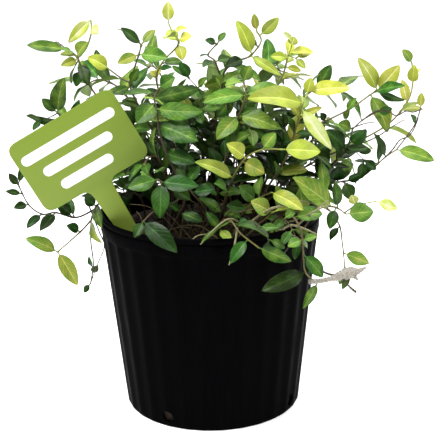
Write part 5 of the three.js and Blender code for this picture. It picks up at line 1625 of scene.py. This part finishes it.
@dataclass(frozen=True)
class BladeForm:
    """Form of one leaf's blade.

    Stalk, thickness, ridge and groove are in millimetres. Wave and bend are shares of the
    length, fold and droop of the half width, and twist is the most it turns, in radians.
    STEPS and ACROSS are the places of its points along it and across its upper face.
    """

    stalk: float = 2.6
    stalk_half: float = 0.5
    half_thick: float = 0.17
    ridge: float = 0.3
    groove: float = 0.16
    wave: float = 0.018
    bend: float = 0.03
    fold: float = 0.36
    droop: float = 0.16
    twist: float = 0.9
    twist_shares: tuple = (0.12, 0.5)

    STEPS = (0.0, 0.02, 0.06, 0.13, 0.22, 0.33, 0.45, 0.57, 0.69, 0.8, 0.89, 0.955, 0.99)
    ACROSS = (-1, -0.82, -0.5, -0.16, 0, 0.16, 0.5, 0.82, 1)

    def rings(self, leaf: Leaf) -> tuple:
        """Rings of points round a leaf, from inside its stem to near its tip.

        Args:
            leaf: The leaf.

        Returns:
            The rings, their blade values and the tip's point.
        """
        stalk = min(self.stalk / leaf.length, 0.16)
        v = np.array(self.STEPS)
        places = np.concatenate([[0.0, stalk * 0.6], stalk + (1 - stalk) * v])[:, None]
        v = np.concatenate([[0.0, 0.0], v])[:, None]
        half = leaf.width / 2 * np.sin(np.pi * v ** 0.84) ** 0.68 * (1.02 - 0.08 * v)
        half = np.maximum(half, self.stalk_half * (1 - v))
        top = np.array(self.ACROSS)
        q = np.concatenate([top, top[-2:0:-1]])[None, :]
        below = np.concatenate([np.zeros(len(top)), np.ones(len(top) - 2)])[None, :]
        outline = np.abs(q)
        blade = np.clip(v / 0.1, 0, 1)
        rise = BLADE_ARCH * leaf.length * 4 * places * (1 - places) + 0 * q
        fold = self.fold * (0.65 + 0.9 * (leaf.tint * 3.71 % 1))
        rise = rise + half * (fold * outline ** 1.3 - self.droop * outline ** 3) * blade
        turns = 2 * np.pi * (1.6 * places + leaf.tint)
        rise = rise + self.wave * leaf.length * q * outline * np.sin(turns) * blade
        thick = self.half_thick * blade + self.stalk_half * (1 - blade)
        thick = thick * np.sqrt(1 - 0.93 * outline ** 2)
        rib = np.where(outline < 0.05, 1.0, 0.0) * (1 - v) * blade
        rise = rise + np.where(below > 0, -thick - self.ridge * rib, thick - self.groove * rib)
        sway = self.bend * leaf.length * np.sin(np.pi * places) * (2 * leaf.tint - 1)
        flat = q * half
        turn = self.twist * self.twist_shares[leaf.extra] * (2 * (leaf.tint * 5.37 % 1) - 1) * v
        across = flat * np.cos(turn) - rise * np.sin(turn) + sway
        rise = flat * np.sin(turn) + rise * np.cos(turn)
        points = (
            leaf.root
            + (leaf.length * places)[..., None] * leaf.along
            + across[..., None] * leaf.side
            + rise[..., None] * leaf.up
        )
        values = np.stack([places + 0 * q, q + 0 * places, below + 0 * places], axis=-1)
        return points, values, leaf.root + leaf.length * leaf.along


@dataclass
class LeafyStem:
    """Stems of the vine with their side twigs and all their leaves, as one piece.

    Slender is a stem's radius as a share of the solid's, and taper what it loses to its
    tip. Swelling is how much thicker it is where leaves stand, and knuckle how far that
    spreads, in square millimetres.
    """

    plant: Plant
    indices: tuple
    name: str
    wood: bpy.types.Material
    leaf: bpy.types.Material
    form: BladeForm = BladeForm()
    slender: float = 0.72
    taper: float = 0.3
    swelling: float = 0.3
    knuckle: float = 3.0
    step: float = 2.2
    around: int = 8

    def build(self) -> bpy.types.Object:
        """Builds the piece in the place of its CAD nodes, if it stands for any.

        Returns:
            The piece.
        """
        weave = Weave()
        shoots = [self.plant.shoots[index] for index in self.indices]
        for index, shoot in zip(self.indices, shoots):
            for number in range(len(shoot.routes)):
                self._add_stem(weave, index, number)
            for leaf in self.plant.leaves[index]:
                rings, values, tip = self.form.rings(leaf)
                growth = (leaf.age, leaf.tint, leaf.tint * 7.31 % 1)
                weave.loft(rings, Skin.LEAF.value, growth, values, tip)
        nodes = [shoot.node for shoot in shoots if shoot.node]
        mesh = weave.mesh(self.name, sharp=70)
        return place(self.name, mesh, [self.wood, self.leaf], shoots[0].slot, *nodes)

    def _add_stem(self, weave: Weave, index: int, number: int) -> None:
        """Adds one route's stem, a little swollen at its leaves.

        Args:
            weave: The mesh to add to.
            index: Number of the shoot.
            number: Number of the route.
        """
        line = self.plant.lines[index][number]
        route = self.plant.shoots[index].routes[number]
        last = len(line) - 1
        rough = np.array([curve_point(line, i / 8) for i in range(last * 8 + 1)])
        length = np.sqrt((np.diff(rough, axis=0) ** 2).sum(1)).sum()
        share = np.linspace(0, 1, max(4, round(length / self.step)))
        points = np.array([curve_point(line, s * last) for s in share])
        start, end = route.radii
        radii = (start + (end - start) * share) * self.slender * (1 - self.taper * share)
        for leaf in self.plant.leaves[index]:
            if leaf.route == number:
                near = np.exp(-((points - leaf.root) ** 2).sum(1) / self.knuckle)
                radii = radii * (1 + self.swelling * near * (0.5 if leaf.extra else 1))
        radii = np.minimum(radii, start * 1.1)
        young = 0.5 * route.age[0] + (route.age[1] - 0.5 * route.age[0]) * share ** 1.5
        growth = np.stack([young, share * 0, share * 0], axis=-1)[:, None, :]
        tip = points[-1] + unit(points[-1] - points[-2]) * radii[-1]
        weave.loft(tube(points, radii, self.around), Skin.STEM.value, growth, tip=tip)


@dataclass(frozen=True)
class Twig:
    """One bare twig: its radii, spread evenly from start to end, and its points."""

    radii: tuple
    points: tuple


# Bare twigs at the right and the left, and over the rim
BARE_TWIGS = (
    Twig((0.6, 0.35), (
        (114, 6, 215), (125, 7, 222), (134, 8, 221), (140, 8, 218), (147, 9, 221), (153, 10, 220),
        (159, 11, 222),
    )),
    Twig((0.55, 0.3), ((115, 2, 199), (126, 2, 204), (136, 5, 210), (146, 7, 215))),
    Twig((0.5, 0.3), ((106, 3, 210), (116, 5, 213), (125, 6, 214))),
    Twig((0.6, 0.35), (
        (131, 8, 185), (138, 9, 192), (143, 9, 199), (150, 10, 202), (154, 10, 208), (157, 12, 215),
    )),
    Twig((0.55, 0.35), (
        (-91, -7, 160), (-83, -12, 139), (-79, -16, 128), (-85, -14, 113), (-92, -6, 95),
    )),
    Twig((0.5, 0.3), ((-100, 4, 270), (-108, 5, 277), (-112, 5, 276))),
    Twig((0.8, 0.5), ((63, -62, 147), (67, -60, 154), (73, -58, 161), (78, -54, 167))),
    Twig((0.8, 0.5), ((64, -80, 143), (59, -80, 148), (55, -80, 146), (51, -84, 142))),
    Twig((1.0, 0.7), ((94, -62, 117), (88, -63, 118), (83, -65, 120), (77, -69, 124))),
    Twig((0.9, 0.7, 1.0), ((93, -62, 116), (96, -65, 113), (99, -64, 109), (103, -62, 105))),
)

# The thick cut stem at the right of the pot
WOODY_STUB = (
    Twig((1.7, 1.8, 1.9, 3.0, 4.1, 3.9, 2.4, 0.7), (
        (69, -76, 118), (78, -71, 117), (85, -67, 117), (90, -63, 117), (96, -60, 118),
        (101, -57, 118), (105, -55, 118), (111, -53, 120),
    )),
    Twig((1.4, 1.3, 0.5), ((101, -57, 118), (103, -59, 115), (105, -60, 113))),
)

# Dry stalks that lean over the front of the rim
PALE_STALKS = (
    Twig((1.0, 1.0, 0.5), ((20, -40, 137), (26, -54, 152), (40, -62, 166), (53, -64, 170), (64, -64, 167))),
    Twig((0.9, 0.9, 0.5), ((56, -32, 138), (60, -52, 150), (68, -66, 163), (75, -68, 168), (84, -66, 171))),
    Twig((0.8, 0.9, 0.5), ((44, -50, 137), (50, -60, 150), (56, -68, 157), (64, -75, 157), (74, -78, 153))),
    Twig((0.8, 0.8, 0.45), ((16, -46, 137), (18, -64, 152), (19, -78, 158), (17, -91, 151), (13, -95, 138))),
    Twig((0.75, 0.75, 0.4), ((26, -44, 138), (20, -62, 158), (12, -76, 164), (2, -86, 159), (-6, -89, 151))),
    Twig((0.8, 0.5), ((36, -44, 140), (46, -52, 152), (60, -58, 158), (72, -58, 164), (84, -52, 170))),
    Twig((0.7, 0.4), ((24, -38, 138), (34, -50, 150), (48, -60, 152), (60, -66, 148), (66, -74, 144))),
    Twig((0.7, 0.4), ((6, -46, 138), (2, -60, 148), (-8, -66, 150), (-16, -70, 144), (-20, -73, 139))),
    Twig((0.6, 0.35), ((42, 4, 140), (52, -30, 160), (62, -44, 168), (76, -48, 166), (86, -46, 160))),
)


def dry_stalks(plant: Plant, count: int) -> tuple:
    """Thin dead stalks that lie across one another low inside the plant.

    Args:
        plant: The grown plant, which they keep clear of.
        count: How many to try to lay.

    Returns:
        The twigs that found room.
    """
    draws = Draws(STALKS_SEED)
    found = []
    for _ in range(count * 6):
        turn, out = math.pi * draws.between(1.05, 1.95), draws.between(12, 66)
        foot = np.array([out * math.cos(turn), out * math.sin(turn), SOIL_TOP - 3])
        reach = np.array([draws.between(-46, 46), draws.between(-16, 12), draws.between(16, 48)])
        bow = np.array([0, 0, draws.between(3, 12)])
        line = np.array([
            foot + reach * share + bow * math.sin(math.pi * share) for share in (0, 0.3, 0.65, 1.0)
        ])
        lying = course(line, SPAN_STEPS - 1, 3 * SPAN_STEPS - 1)
        inside = all(math.hypot(x, y) < RIM_BAND[0] - 2 for x, y, _ in lying)
        if len(found) < count and inside and plant.open(lying, 0.55):
            points = tuple(tuple(round(float(value), 1) for value in point) for point in line)
            found.append(Twig((0.45, 0.25), points))
    return tuple(found)


@dataclass
class BareTwigs:
    """Leafless twigs of one age, as one piece.

    Attributes:
        age: How young they are, 0 brown to 1 pale green.
        bulge: How far a twig's thickness swells and shrinks along it.
    """

    name: str
    twigs: tuple
    wood: bpy.types.Material
    age: float = 0.1
    bulge: float = 0.12
    around: int = 10

    def build(self) -> bpy.types.Object:
        """Builds the piece.

        Returns:
            The piece.
        """
        weave = Weave()
        for number, twig in enumerate(self.twigs):
            line = np.array(twig.points, float)
            last = len(line) - 1
            share = np.linspace(0, 1, last * 10 + 1)
            points = np.array([curve_point(line, s * last) for s in share])
            radii = np.interp(share, np.linspace(0, 1, len(twig.radii)), twig.radii)
            radii = radii * (1 + self.bulge * np.sin(4.7 * np.pi * last * share + number))
            tip = points[-1] + unit(points[-1] - points[-2]) * radii[-1]
            growth = (self.age, number * 0.618 % 1, 0)
            weave.loft(tube(points, radii, self.around), 0, growth, tip=tip)
        return place(self.name, weave.mesh(self.name, sharp=70), [self.wood], "leaf")


@dataclass
class NurseryPot:
    """The fluted pot: one moulded shell with a stepped rim and four drain holes.

    Attributes:
        steps: Rings up the fluted wall.
        sharp: Edges that turn more than this many degrees stay sharp.
    """

    finish: bpy.types.Material
    around: int = 360
    steps: int = 14
    sharp: float = 40

    def _profile(self) -> list:
        """Radius, height and flute depth of each ring, up the outside and down the inside.

        Returns:
            Radius, height and share of the flutes' depth of each ring.
        """
        top, low = POT_TOP_RADIUS, POT_BASE_RADIUS
        wall = np.linspace(0, 1, self.steps)[1:-1]
        foot = [
            (40, 0.8, 0), (42, 0, 0), (low - 6, 0, 0), (low - 5, 0.5, 0), (low - 4, 0, 0),
            (low - 2.4, 0, 0), (low - 1.1, 0.4, 0.1), (low - 0.3, 1.4, 0.4), (low, 3, 0.7),
        ]
        side = [
            (low + (top - 0.9 - low) * share, 3 + (FLUTE_TOP - 3) * share, 0.7 + 0.3 * share)
            for share in wall
        ]
        rim = [
            (top - 0.9, FLUTE_TOP - 2, 1), (top - 0.85, FLUTE_TOP, 0.8),
            (top - 0.6, FLUTE_TOP + 1, 0.3), (top - 0.4, FLUTE_TOP + 1.8, 0),
            (top - 0.3, 145.8, 0), (top - 0.5, 146.4, 0),
            (top - 1.2, 147.0, 0), (top - 1.3, 147.4, 0), (top - 1.1, 147.9, 0), (top - 0.2, 148.5, 0),
            (top, 149.0, 0), (top, 150.8, 0), (top - 0.25, 151.6, 0), (top - 0.8, POT_HEIGHT, 0),
            (POT_INNER_TOP_RADIUS + 0.7, POT_HEIGHT, 0), (POT_INNER_TOP_RADIUS + 0.15, 151.6, 0),
            (POT_INNER_TOP_RADIUS, 150.8, 0), (79.0, 140.0, 0), (POT_INNER_BASE_RADIUS + 1, 3.6, 0),
            (POT_INNER_BASE_RADIUS - 1, POT_FLOOR, 0),
        ]
        return foot + side + rim

    def build(self) -> bpy.types.Object:
        """Builds the shell and cuts its drain holes.

        Returns:
            The piece.
        """
        angle = 2 * np.pi * np.arange(self.around) / self.around
        valley = 0.5 - 0.5 * np.cos(FLUTE_COUNT * angle)
        rings = []
        for radius, height, depth in self._profile():
            r = radius - FLUTE_DEPTH * depth * valley ** 0.8
            rings.append(np.stack([r * np.cos(angle), r * np.sin(angle), height + 0 * r], axis=-1))
        weave = Weave()
        weave.loft(np.array(rings), 0, (0, 0, 0))
        cutter = stand("cutter", self._drills())
        mesh = modified(weave.mesh("shell", self.sharp), "BOOLEAN", {
            "object": cutter, "operation": "DIFFERENCE", "solver": "EXACT",
        })
        bpy.data.objects.remove(cutter)
        mesh.set_sharp_from_angle(angle=math.radians(self.sharp))
        return place("fluted_pot", mesh, [self.finish], "pot_plastic", "pot")

    def _drills(self) -> bpy.types.Mesh:
        """Four short round bars that stand where the drain holes go.

        Returns:
            The mesh that cuts them.
        """
        weave = Weave()
        for degrees in DRAIN_ANGLES:
            turn = math.radians(degrees - 90)
            out = np.array([math.cos(turn), math.sin(turn), 0])
            reach = np.linspace(-6, 6, 5)[:, None]
            line = np.array([0, 0, DRAIN_HEIGHT]) + (POT_BASE_RADIUS + reach) * out
            weave.loft(tube(line, np.full(5, DRAIN_RADIUS), 32), 0, (0, 0, 0))
        return weave.mesh("drills", self.sharp)


@dataclass
class BarkSoil:
    """The soil: a rough dark bed with loose chips of bark and crumbs on it.

    Attributes:
        feet: x and y of the stems in it, which the chips keep clear of.
        rings: Rings from its edge to its middle.
        clear: Distance of a chip from a stem.
        relief: Size across, place in the noise and height of its waves, lumps and grains.
    """

    finish: bpy.types.Material
    feet: list
    around: int = 150
    rings: int = 44
    chips: int = 460
    crumbs: int = 900
    clear: float = 3.0
    relief: tuple = ((19, 3.1, 1.3), (6, 8.4, 0.9), (2.3, 1.7, 0.5))

    def _height(self, x: float, y: float) -> float:
        """Height of the soil's top at a place.

        Args:
            x: The place's x.
            y: The place's y.

        Returns:
            Its z.
        """
        top = SOIL_TOP
        for size, layer, height in self.relief:
            top += height * noise.noise(Vector((x / size, y / size, layer)))
        return top

    def build(self) -> bpy.types.Object:
        """Builds the bed and scatters the chips on it.

        Returns:
            The piece.
        """
        weave = Weave()
        angle = 2 * np.pi * np.arange(self.around) / self.around
        base = POT_FLOOR + 0.4
        rings = []
        for radius, height in ((SOIL_BASE_RADIUS - 2, base), (SOIL_BASE_RADIUS, base + 1.5)):
            x, y = radius * np.cos(angle), radius * np.sin(angle)
            rings.append(np.stack([x, y, height + 0 * angle], -1))
        for radius in np.linspace(SOIL_RADIUS, 1.5, self.rings):
            x, y = radius * np.cos(angle), radius * np.sin(angle)
            top = np.array([self._height(*at) for at in zip(x, y)])
            rings.append(np.stack([x, y, top], -1))
        tip = np.array([0, 0, self._height(0, 0)])
        weave.loft(np.array(rings), 0, (0, 0.2, 0), tip=tip)
        draws = Draws(CHIPS_SEED)
        for count, low, high in ((self.chips, 3.5, 10.0), (self.crumbs, 1.2, 3.0)):
            for _ in range(count):
                self._scatter(weave, draws, low, high)
        mesh = weave.mesh("bark_soil", sharp=32)
        return place("bark_soil", mesh, [self.finish], "soil", "soil")

    def _scatter(self, weave: Weave, draws: Draws, low: float, high: float) -> None:
        """Lays one chip or crumb of a length between low and high.

        Args:
            weave: The mesh to add to.
            draws: The random draws.
            low: Smallest size.
            high: Largest size.
        """
        length = low + (high - low) * draws.next() ** 2
        radius = (SOIL_RADIUS - 0.6 * length - 0.5) * math.sqrt(draws.next())
        around = 2 * math.pi * draws.next()
        x, y = radius * math.cos(around), radius * math.sin(around)
        turn = math.pi * draws.next()
        tilt, roll = draws.between(-0.35, 0.35), draws.between(-0.4, 0.4)
        jitter = np.array(draws.several(24))
        tint = draws.next()
        if any(math.hypot(x - fx, y - fy) < self.clear + length / 2 for fx, fy in self.feet):
            return
        flat = math.cos(tilt)
        along = np.array([math.cos(turn) * flat, math.sin(turn) * flat, math.sin(tilt)])
        level = unit(np.cross([0, 0, 1], along))
        lift = np.cross(along, level)
        side = level * math.cos(roll) + lift * math.sin(roll)
        lift = np.cross(along, side)
        ends = np.array([-0.5, -0.42, 0.1, 0.46, 0.5]) * length
        width = length * draws.between(0.3, 0.6) / 2
        thick = max(0.35, length * 0.09)
        sizes = np.array([0.45, 0.85, 1.0, 0.7, 0.3])
        angle = 2 * np.pi * np.arange(6) / 6
        rings = []
        for k, (end, size) in enumerate(zip(ends, sizes)):
            wobble = 0.75 + 0.5 * jitter[(k * 5 + np.arange(6)) % 24]
            across = width * size * np.cos(angle) * wobble
            rise = thick * (0.6 + 0.4 * size) * np.sin(angle) * wobble
            rings.append(end * along + across[:, None] * side + rise[:, None] * lift)
        middle = np.array([x, y, self._height(x, y) + thick * 0.4])
        weave.loft(middle + np.array(rings), 0, (0, tint, 0))


@dataclass
class PlantLabel:
    """The plain label: a rounded board on a pointed stake, with three printed bars.

    Attributes:
        board: Finish of the sheet.
        ink: Finish of the bars.
        bevel: How far its edges are eased, in millimetres.
        bars: Middle, length and height of each bar, on the board's own axes.
    """

    board: bpy.types.Material
    ink: bpy.types.Material
    bevel: float = 0.25
    bars: tuple = ((-0.9, 12.4, 77.0, 7.5), (-1.3, -1.6, 57.0, 7.5), (-2.2, -15.6, 43.0, 7.5))

    @staticmethod
    def _on_board(a: np.ndarray, b: np.ndarray, front: float) -> np.ndarray:
        """Points given across and up the board, a distance in front of its middle.

        Args:
            a: Distance across the board.
            b: Distance up the board.
            front: Distance in front of its middle.

        Returns:
            The point in the part's frame.
        """
        turn = math.radians(LABEL_TILT)
        x = a * math.cos(turn) - b * math.sin(turn) + LABEL_CENTRE[0]
        z = a * math.sin(turn) + b * math.cos(turn) + LABEL_CENTRE[2]
        return np.stack([x, np.full_like(x, LABEL_CENTRE[1] - front), z], axis=-1)

    @staticmethod
    def _eased(start: tuple, corner: tuple, end: tuple, steps: int) -> list:
        """Points of the curve from start to end that bends towards the corner.

        Args:
            start: Where it starts.
            corner: The corner.
            end: Where it ends.
            steps: Number of spans between the points.

        Returns:
            The points.
        """
        out = []
        for t in np.linspace(0, 1, steps + 1):
            weights = ((1 - t) ** 2, 2 * t * (1 - t), t * t)
            x, y = zip(start, corner, end)
            out.append((sum(map(mul, weights, x)), sum(map(mul, weights, y))))
        return out

    def _outline(self) -> list:
        """The board's and the stake's outline, anticlockwise from the front.

        Returns:
            The points, in order round it.
        """
        w, h, c = LABEL_WIDTH / 2, LABEL_HEIGHT / 2, LABEL_CORNER
        s, top, flare = STAKE_WIDTH / 2, STAKE_TOP_WIDTH / 2, STAKE_FLARE
        foot = -h - STAKE_LENGTH
        right = [(0.0, foot), (1.2, foot + 1.2), (s - 0.8, foot + 8.6), (s, foot + 11)]
        right += self._eased((top, -h - flare), (top, -h), (top + flare, -h), 10)
        right += self._eased((w - c, -h), (w, -h), (w, -h + c), 10)
        right += self._eased((w, h - c), (w, h), (w - c, h), 10)
        return right + [(-a, b) for a, b in reversed(right[1:])]

    def _plate(self, outline: list, front: float, back: float, bevel: float) -> bpy.types.Mesh:
        """A flat plate of an outline, its edges eased.

        Args:
            outline: The outline's points.
            front: Where its front face is.
            back: Where its back face is.
            bevel: Size of its eased edges.

        Returns:
            The mesh.
        """
        a, b = np.array(outline).T
        rings = np.array([self._on_board(a, b, front), self._on_board(a, b, back)])
        count = len(outline)
        faces = [tuple(range(count)), tuple(reversed(range(count, 2 * count)))]
        faces += [((i + 1) % count, i, count + i, count + (i + 1) % count) for i in range(count)]
        mesh = bpy.data.meshes.new("plate")
        mesh.from_pydata((rings.reshape(-1, 3) * MM).tolist(), [], faces)
        made = modified(mesh, "BEVEL", {
            "width": bevel * MM, "segments": 2, "limit_method": "ANGLE",
            "angle_limit": math.radians(50),
        })
        made.shade_smooth()
        made.set_sharp_from_angle(angle=math.radians(35))
        return made

    def build(self) -> list:
        """Builds the board and its bars.

        Returns:
            The pieces.
        """
        half = LABEL_THICKNESS / 2
        sheet = self._plate(self._outline(), half, -half, self.bevel)
        pieces = [place("label_board", sheet, [self.board], "label_plastic", "plant_label")]
        for number, (a, b, length, height) in enumerate(self.bars, 1):
            r = height / 2
            angle = np.linspace(-np.pi / 2, np.pi / 2, 13)
            right = [(a + length / 2 - r + r * math.cos(t), b + r * math.sin(t)) for t in angle]
            left = [(a - length / 2 + r - r * math.cos(t), b - r * math.sin(t)) for t in angle]
            mesh = self._plate(right + left, half + 0.12, half - 0.1, 0.05)
            pieces.append(place(f"label_bar_{number}", mesh, [self.ink], "label_plastic"))
        return pieces


@dataclass
class Studio:
    """The pale sweep, its soft lights and the camera of the photograph.

    The camera's distance, target and sensor are in millimetres, its turns in degrees and
    its focal length in pixels of the photograph's frame. The sweep and the panels, each
    with its place, size and power, are in metres and watts.
    """

    distance: float = 850.0
    elevation: float = 16.07
    roll: float = -1.016
    target: tuple = (6.445, 0.0, 143.97)
    focal: float = 1126.6
    frame_width: float = 437.0
    sensor: float = 36.0
    sweep: float = 3.0
    bend: float = 0.5
    panels: tuple = (
        ((-0.45, -0.35, 1.2), 0.6, 22.5), ((0.3, 0.4, 1.25), 0.9, 13.0), ((0.9, -0.4, 0.9), 0.5, 7.0),
    )
    aim: tuple = (0.0, 0.0, 0.2)
    sky: str = "ffffff"
    sky_strength: float = 0.12

    def build(self) -> None:
        """Sets the whole studio up."""
        self._lay_sweep()
        self._hang_panels()
        self._set_camera()
        world = bpy.data.worlds.new("pale_room")
        world.use_nodes = True
        tree = world.node_tree
        tree.nodes.clear()
        sky = add_node(tree, "Background", {
            "Color": linear(self.sky), "Strength": self.sky_strength,
        })
        add_node(tree, "OutputWorld", {"Surface": sky})
        bpy.context.scene.world = world
        bpy.context.scene.view_settings.view_transform = "Standard"

    def _lay_sweep(self) -> None:
        """Lays the sweep on the floor and up behind the object."""
        size, bend = self.sweep, self.bend
        arc = np.linspace(0, math.pi / 2, 13)
        line = [(-size, 0.0)]
        line += [(size / 2 + bend * math.sin(t), bend * (1 - math.cos(t))) for t in arc]
        line.append((size / 2 + bend, size))
        points = [(x, y, z) for y, z in line for x in (-size, size)]
        faces = [(2 * k, 2 * k + 1, 2 * k + 3, 2 * k + 2) for k in range(len(line) - 1)]
        mesh = bpy.data.meshes.new("sweep")
        mesh.from_pydata(points, [], faces)
        mesh.shade_smooth()
        mesh.materials.append(PaleSweep().material())
        floor = stand("sweep", mesh)

    def _hang_panels(self) -> None:
        """Hangs the soft lights, each turned to the plant."""
        for number, (where, size, power) in enumerate(self.panels, 1):
            lamp = bpy.data.lights.new(f"panel_{number}", "AREA")
            lamp.shape, lamp.size, lamp.energy = "SQUARE", size, power
            hung = stand(f"panel_{number}", lamp)
            hung.location = where
            aim = Vector(self.aim) - hung.location
            hung.rotation_euler = aim.to_track_quat("-Z", "Y").to_euler()

    def _set_camera(self) -> None:
        """Sets the camera up where the photograph was taken from."""
        up_angle, roll = math.radians(self.elevation), math.radians(self.roll)
        right = Vector((1, 0, 0))
        up = Vector((0, math.sin(up_angle), math.cos(up_angle)))
        back = Vector((0, -math.cos(up_angle), math.sin(up_angle)))
        turned_right = right * math.cos(roll) + up * math.sin(roll)
        turned_up = up * math.cos(roll) - right * math.sin(roll)
        camera = stand("camera", bpy.data.cameras.new("camera"))
        camera.data.sensor_width = self.sensor
        camera.data.lens = self.focal * self.sensor / self.frame_width
        turn = Matrix((turned_right, turned_up, back)).transposed().to_4x4()
        spot = (Vector(self.target) + back * self.distance) * MM
        camera.matrix_world = Matrix.Translation(spot) @ turn
        bpy.context.scene.camera = camera


# Colours of dead stalks, dull khaki, and of cut wood that the weather has turned pale grey
STRAW_AGES = ((0.0, "3a3826"), (0.4, "686542"), (0.8, "94916a"))
WEATHERED_AGES = ((0.0, "7d776d"), (0.25, "b5b0a4"), (0.5, "d2cec2"))


def main() -> None:
    """Builds every piece in order, then the studio."""
    logging.basicConfig(level=logging.INFO, format="%(name)s: %(message)s")
    plant = Plant(SHOOTS)
    total = sum(len(leaves) for leaves in plant.leaves)
    log.info("plant: %d leaves as solids, %d in all", plant.solid_count, total)
    wood, leaf = TwiningStem().material(), WaxyLeaf().material()
    NurseryPot(MouldedPot().material()).build()
    feet = [lines[0][0][:2] for lines in plant.lines]
    BarkSoil(BarkMix().material(), feet).build()
    # The board's green is darker at its top than at its foot: painted shade
    sheet = PrintedSheet("printed_green_sheet", "7b8f36", "6f842c")
    PlantLabel(sheet.material(), PrintedSheet("white_ink", "f7f8f2", "f7f8f2").material()).build()
    for index, shoot in enumerate(SHOOTS):
        name = shoot.node.replace("leafy_", "jasmine_").replace("young_shoot", "jasmine_young")
        LeafyStem(plant, (index,), name, wood, leaf).build()
    inner = tuple(range(len(SHOOTS), len(plant.shoots)))
    LeafyStem(plant, inner, "jasmine_inner_growth", wood, leaf).build()
    BareTwigs("jasmine_bare_twigs", BARE_TWIGS, wood).build()
    BareTwigs("jasmine_dry_stalks", dry_stalks(plant, 30), wood, 0.3).build()
    straw = TwiningStem("dry_jasmine_stalk", STRAW_AGES, relief=0.2)
    BareTwigs("jasmine_pale_stalks", PALE_STALKS, straw.material(), 0.5).build()
    grey = TwiningStem("weathered_jasmine_wood", WEATHERED_AGES, relief=0.15)
    BareTwigs("jasmine_woody_stub", WOODY_STUB, grey.material()).build()
    Studio().build()


if __name__ == "__main__":
    main()
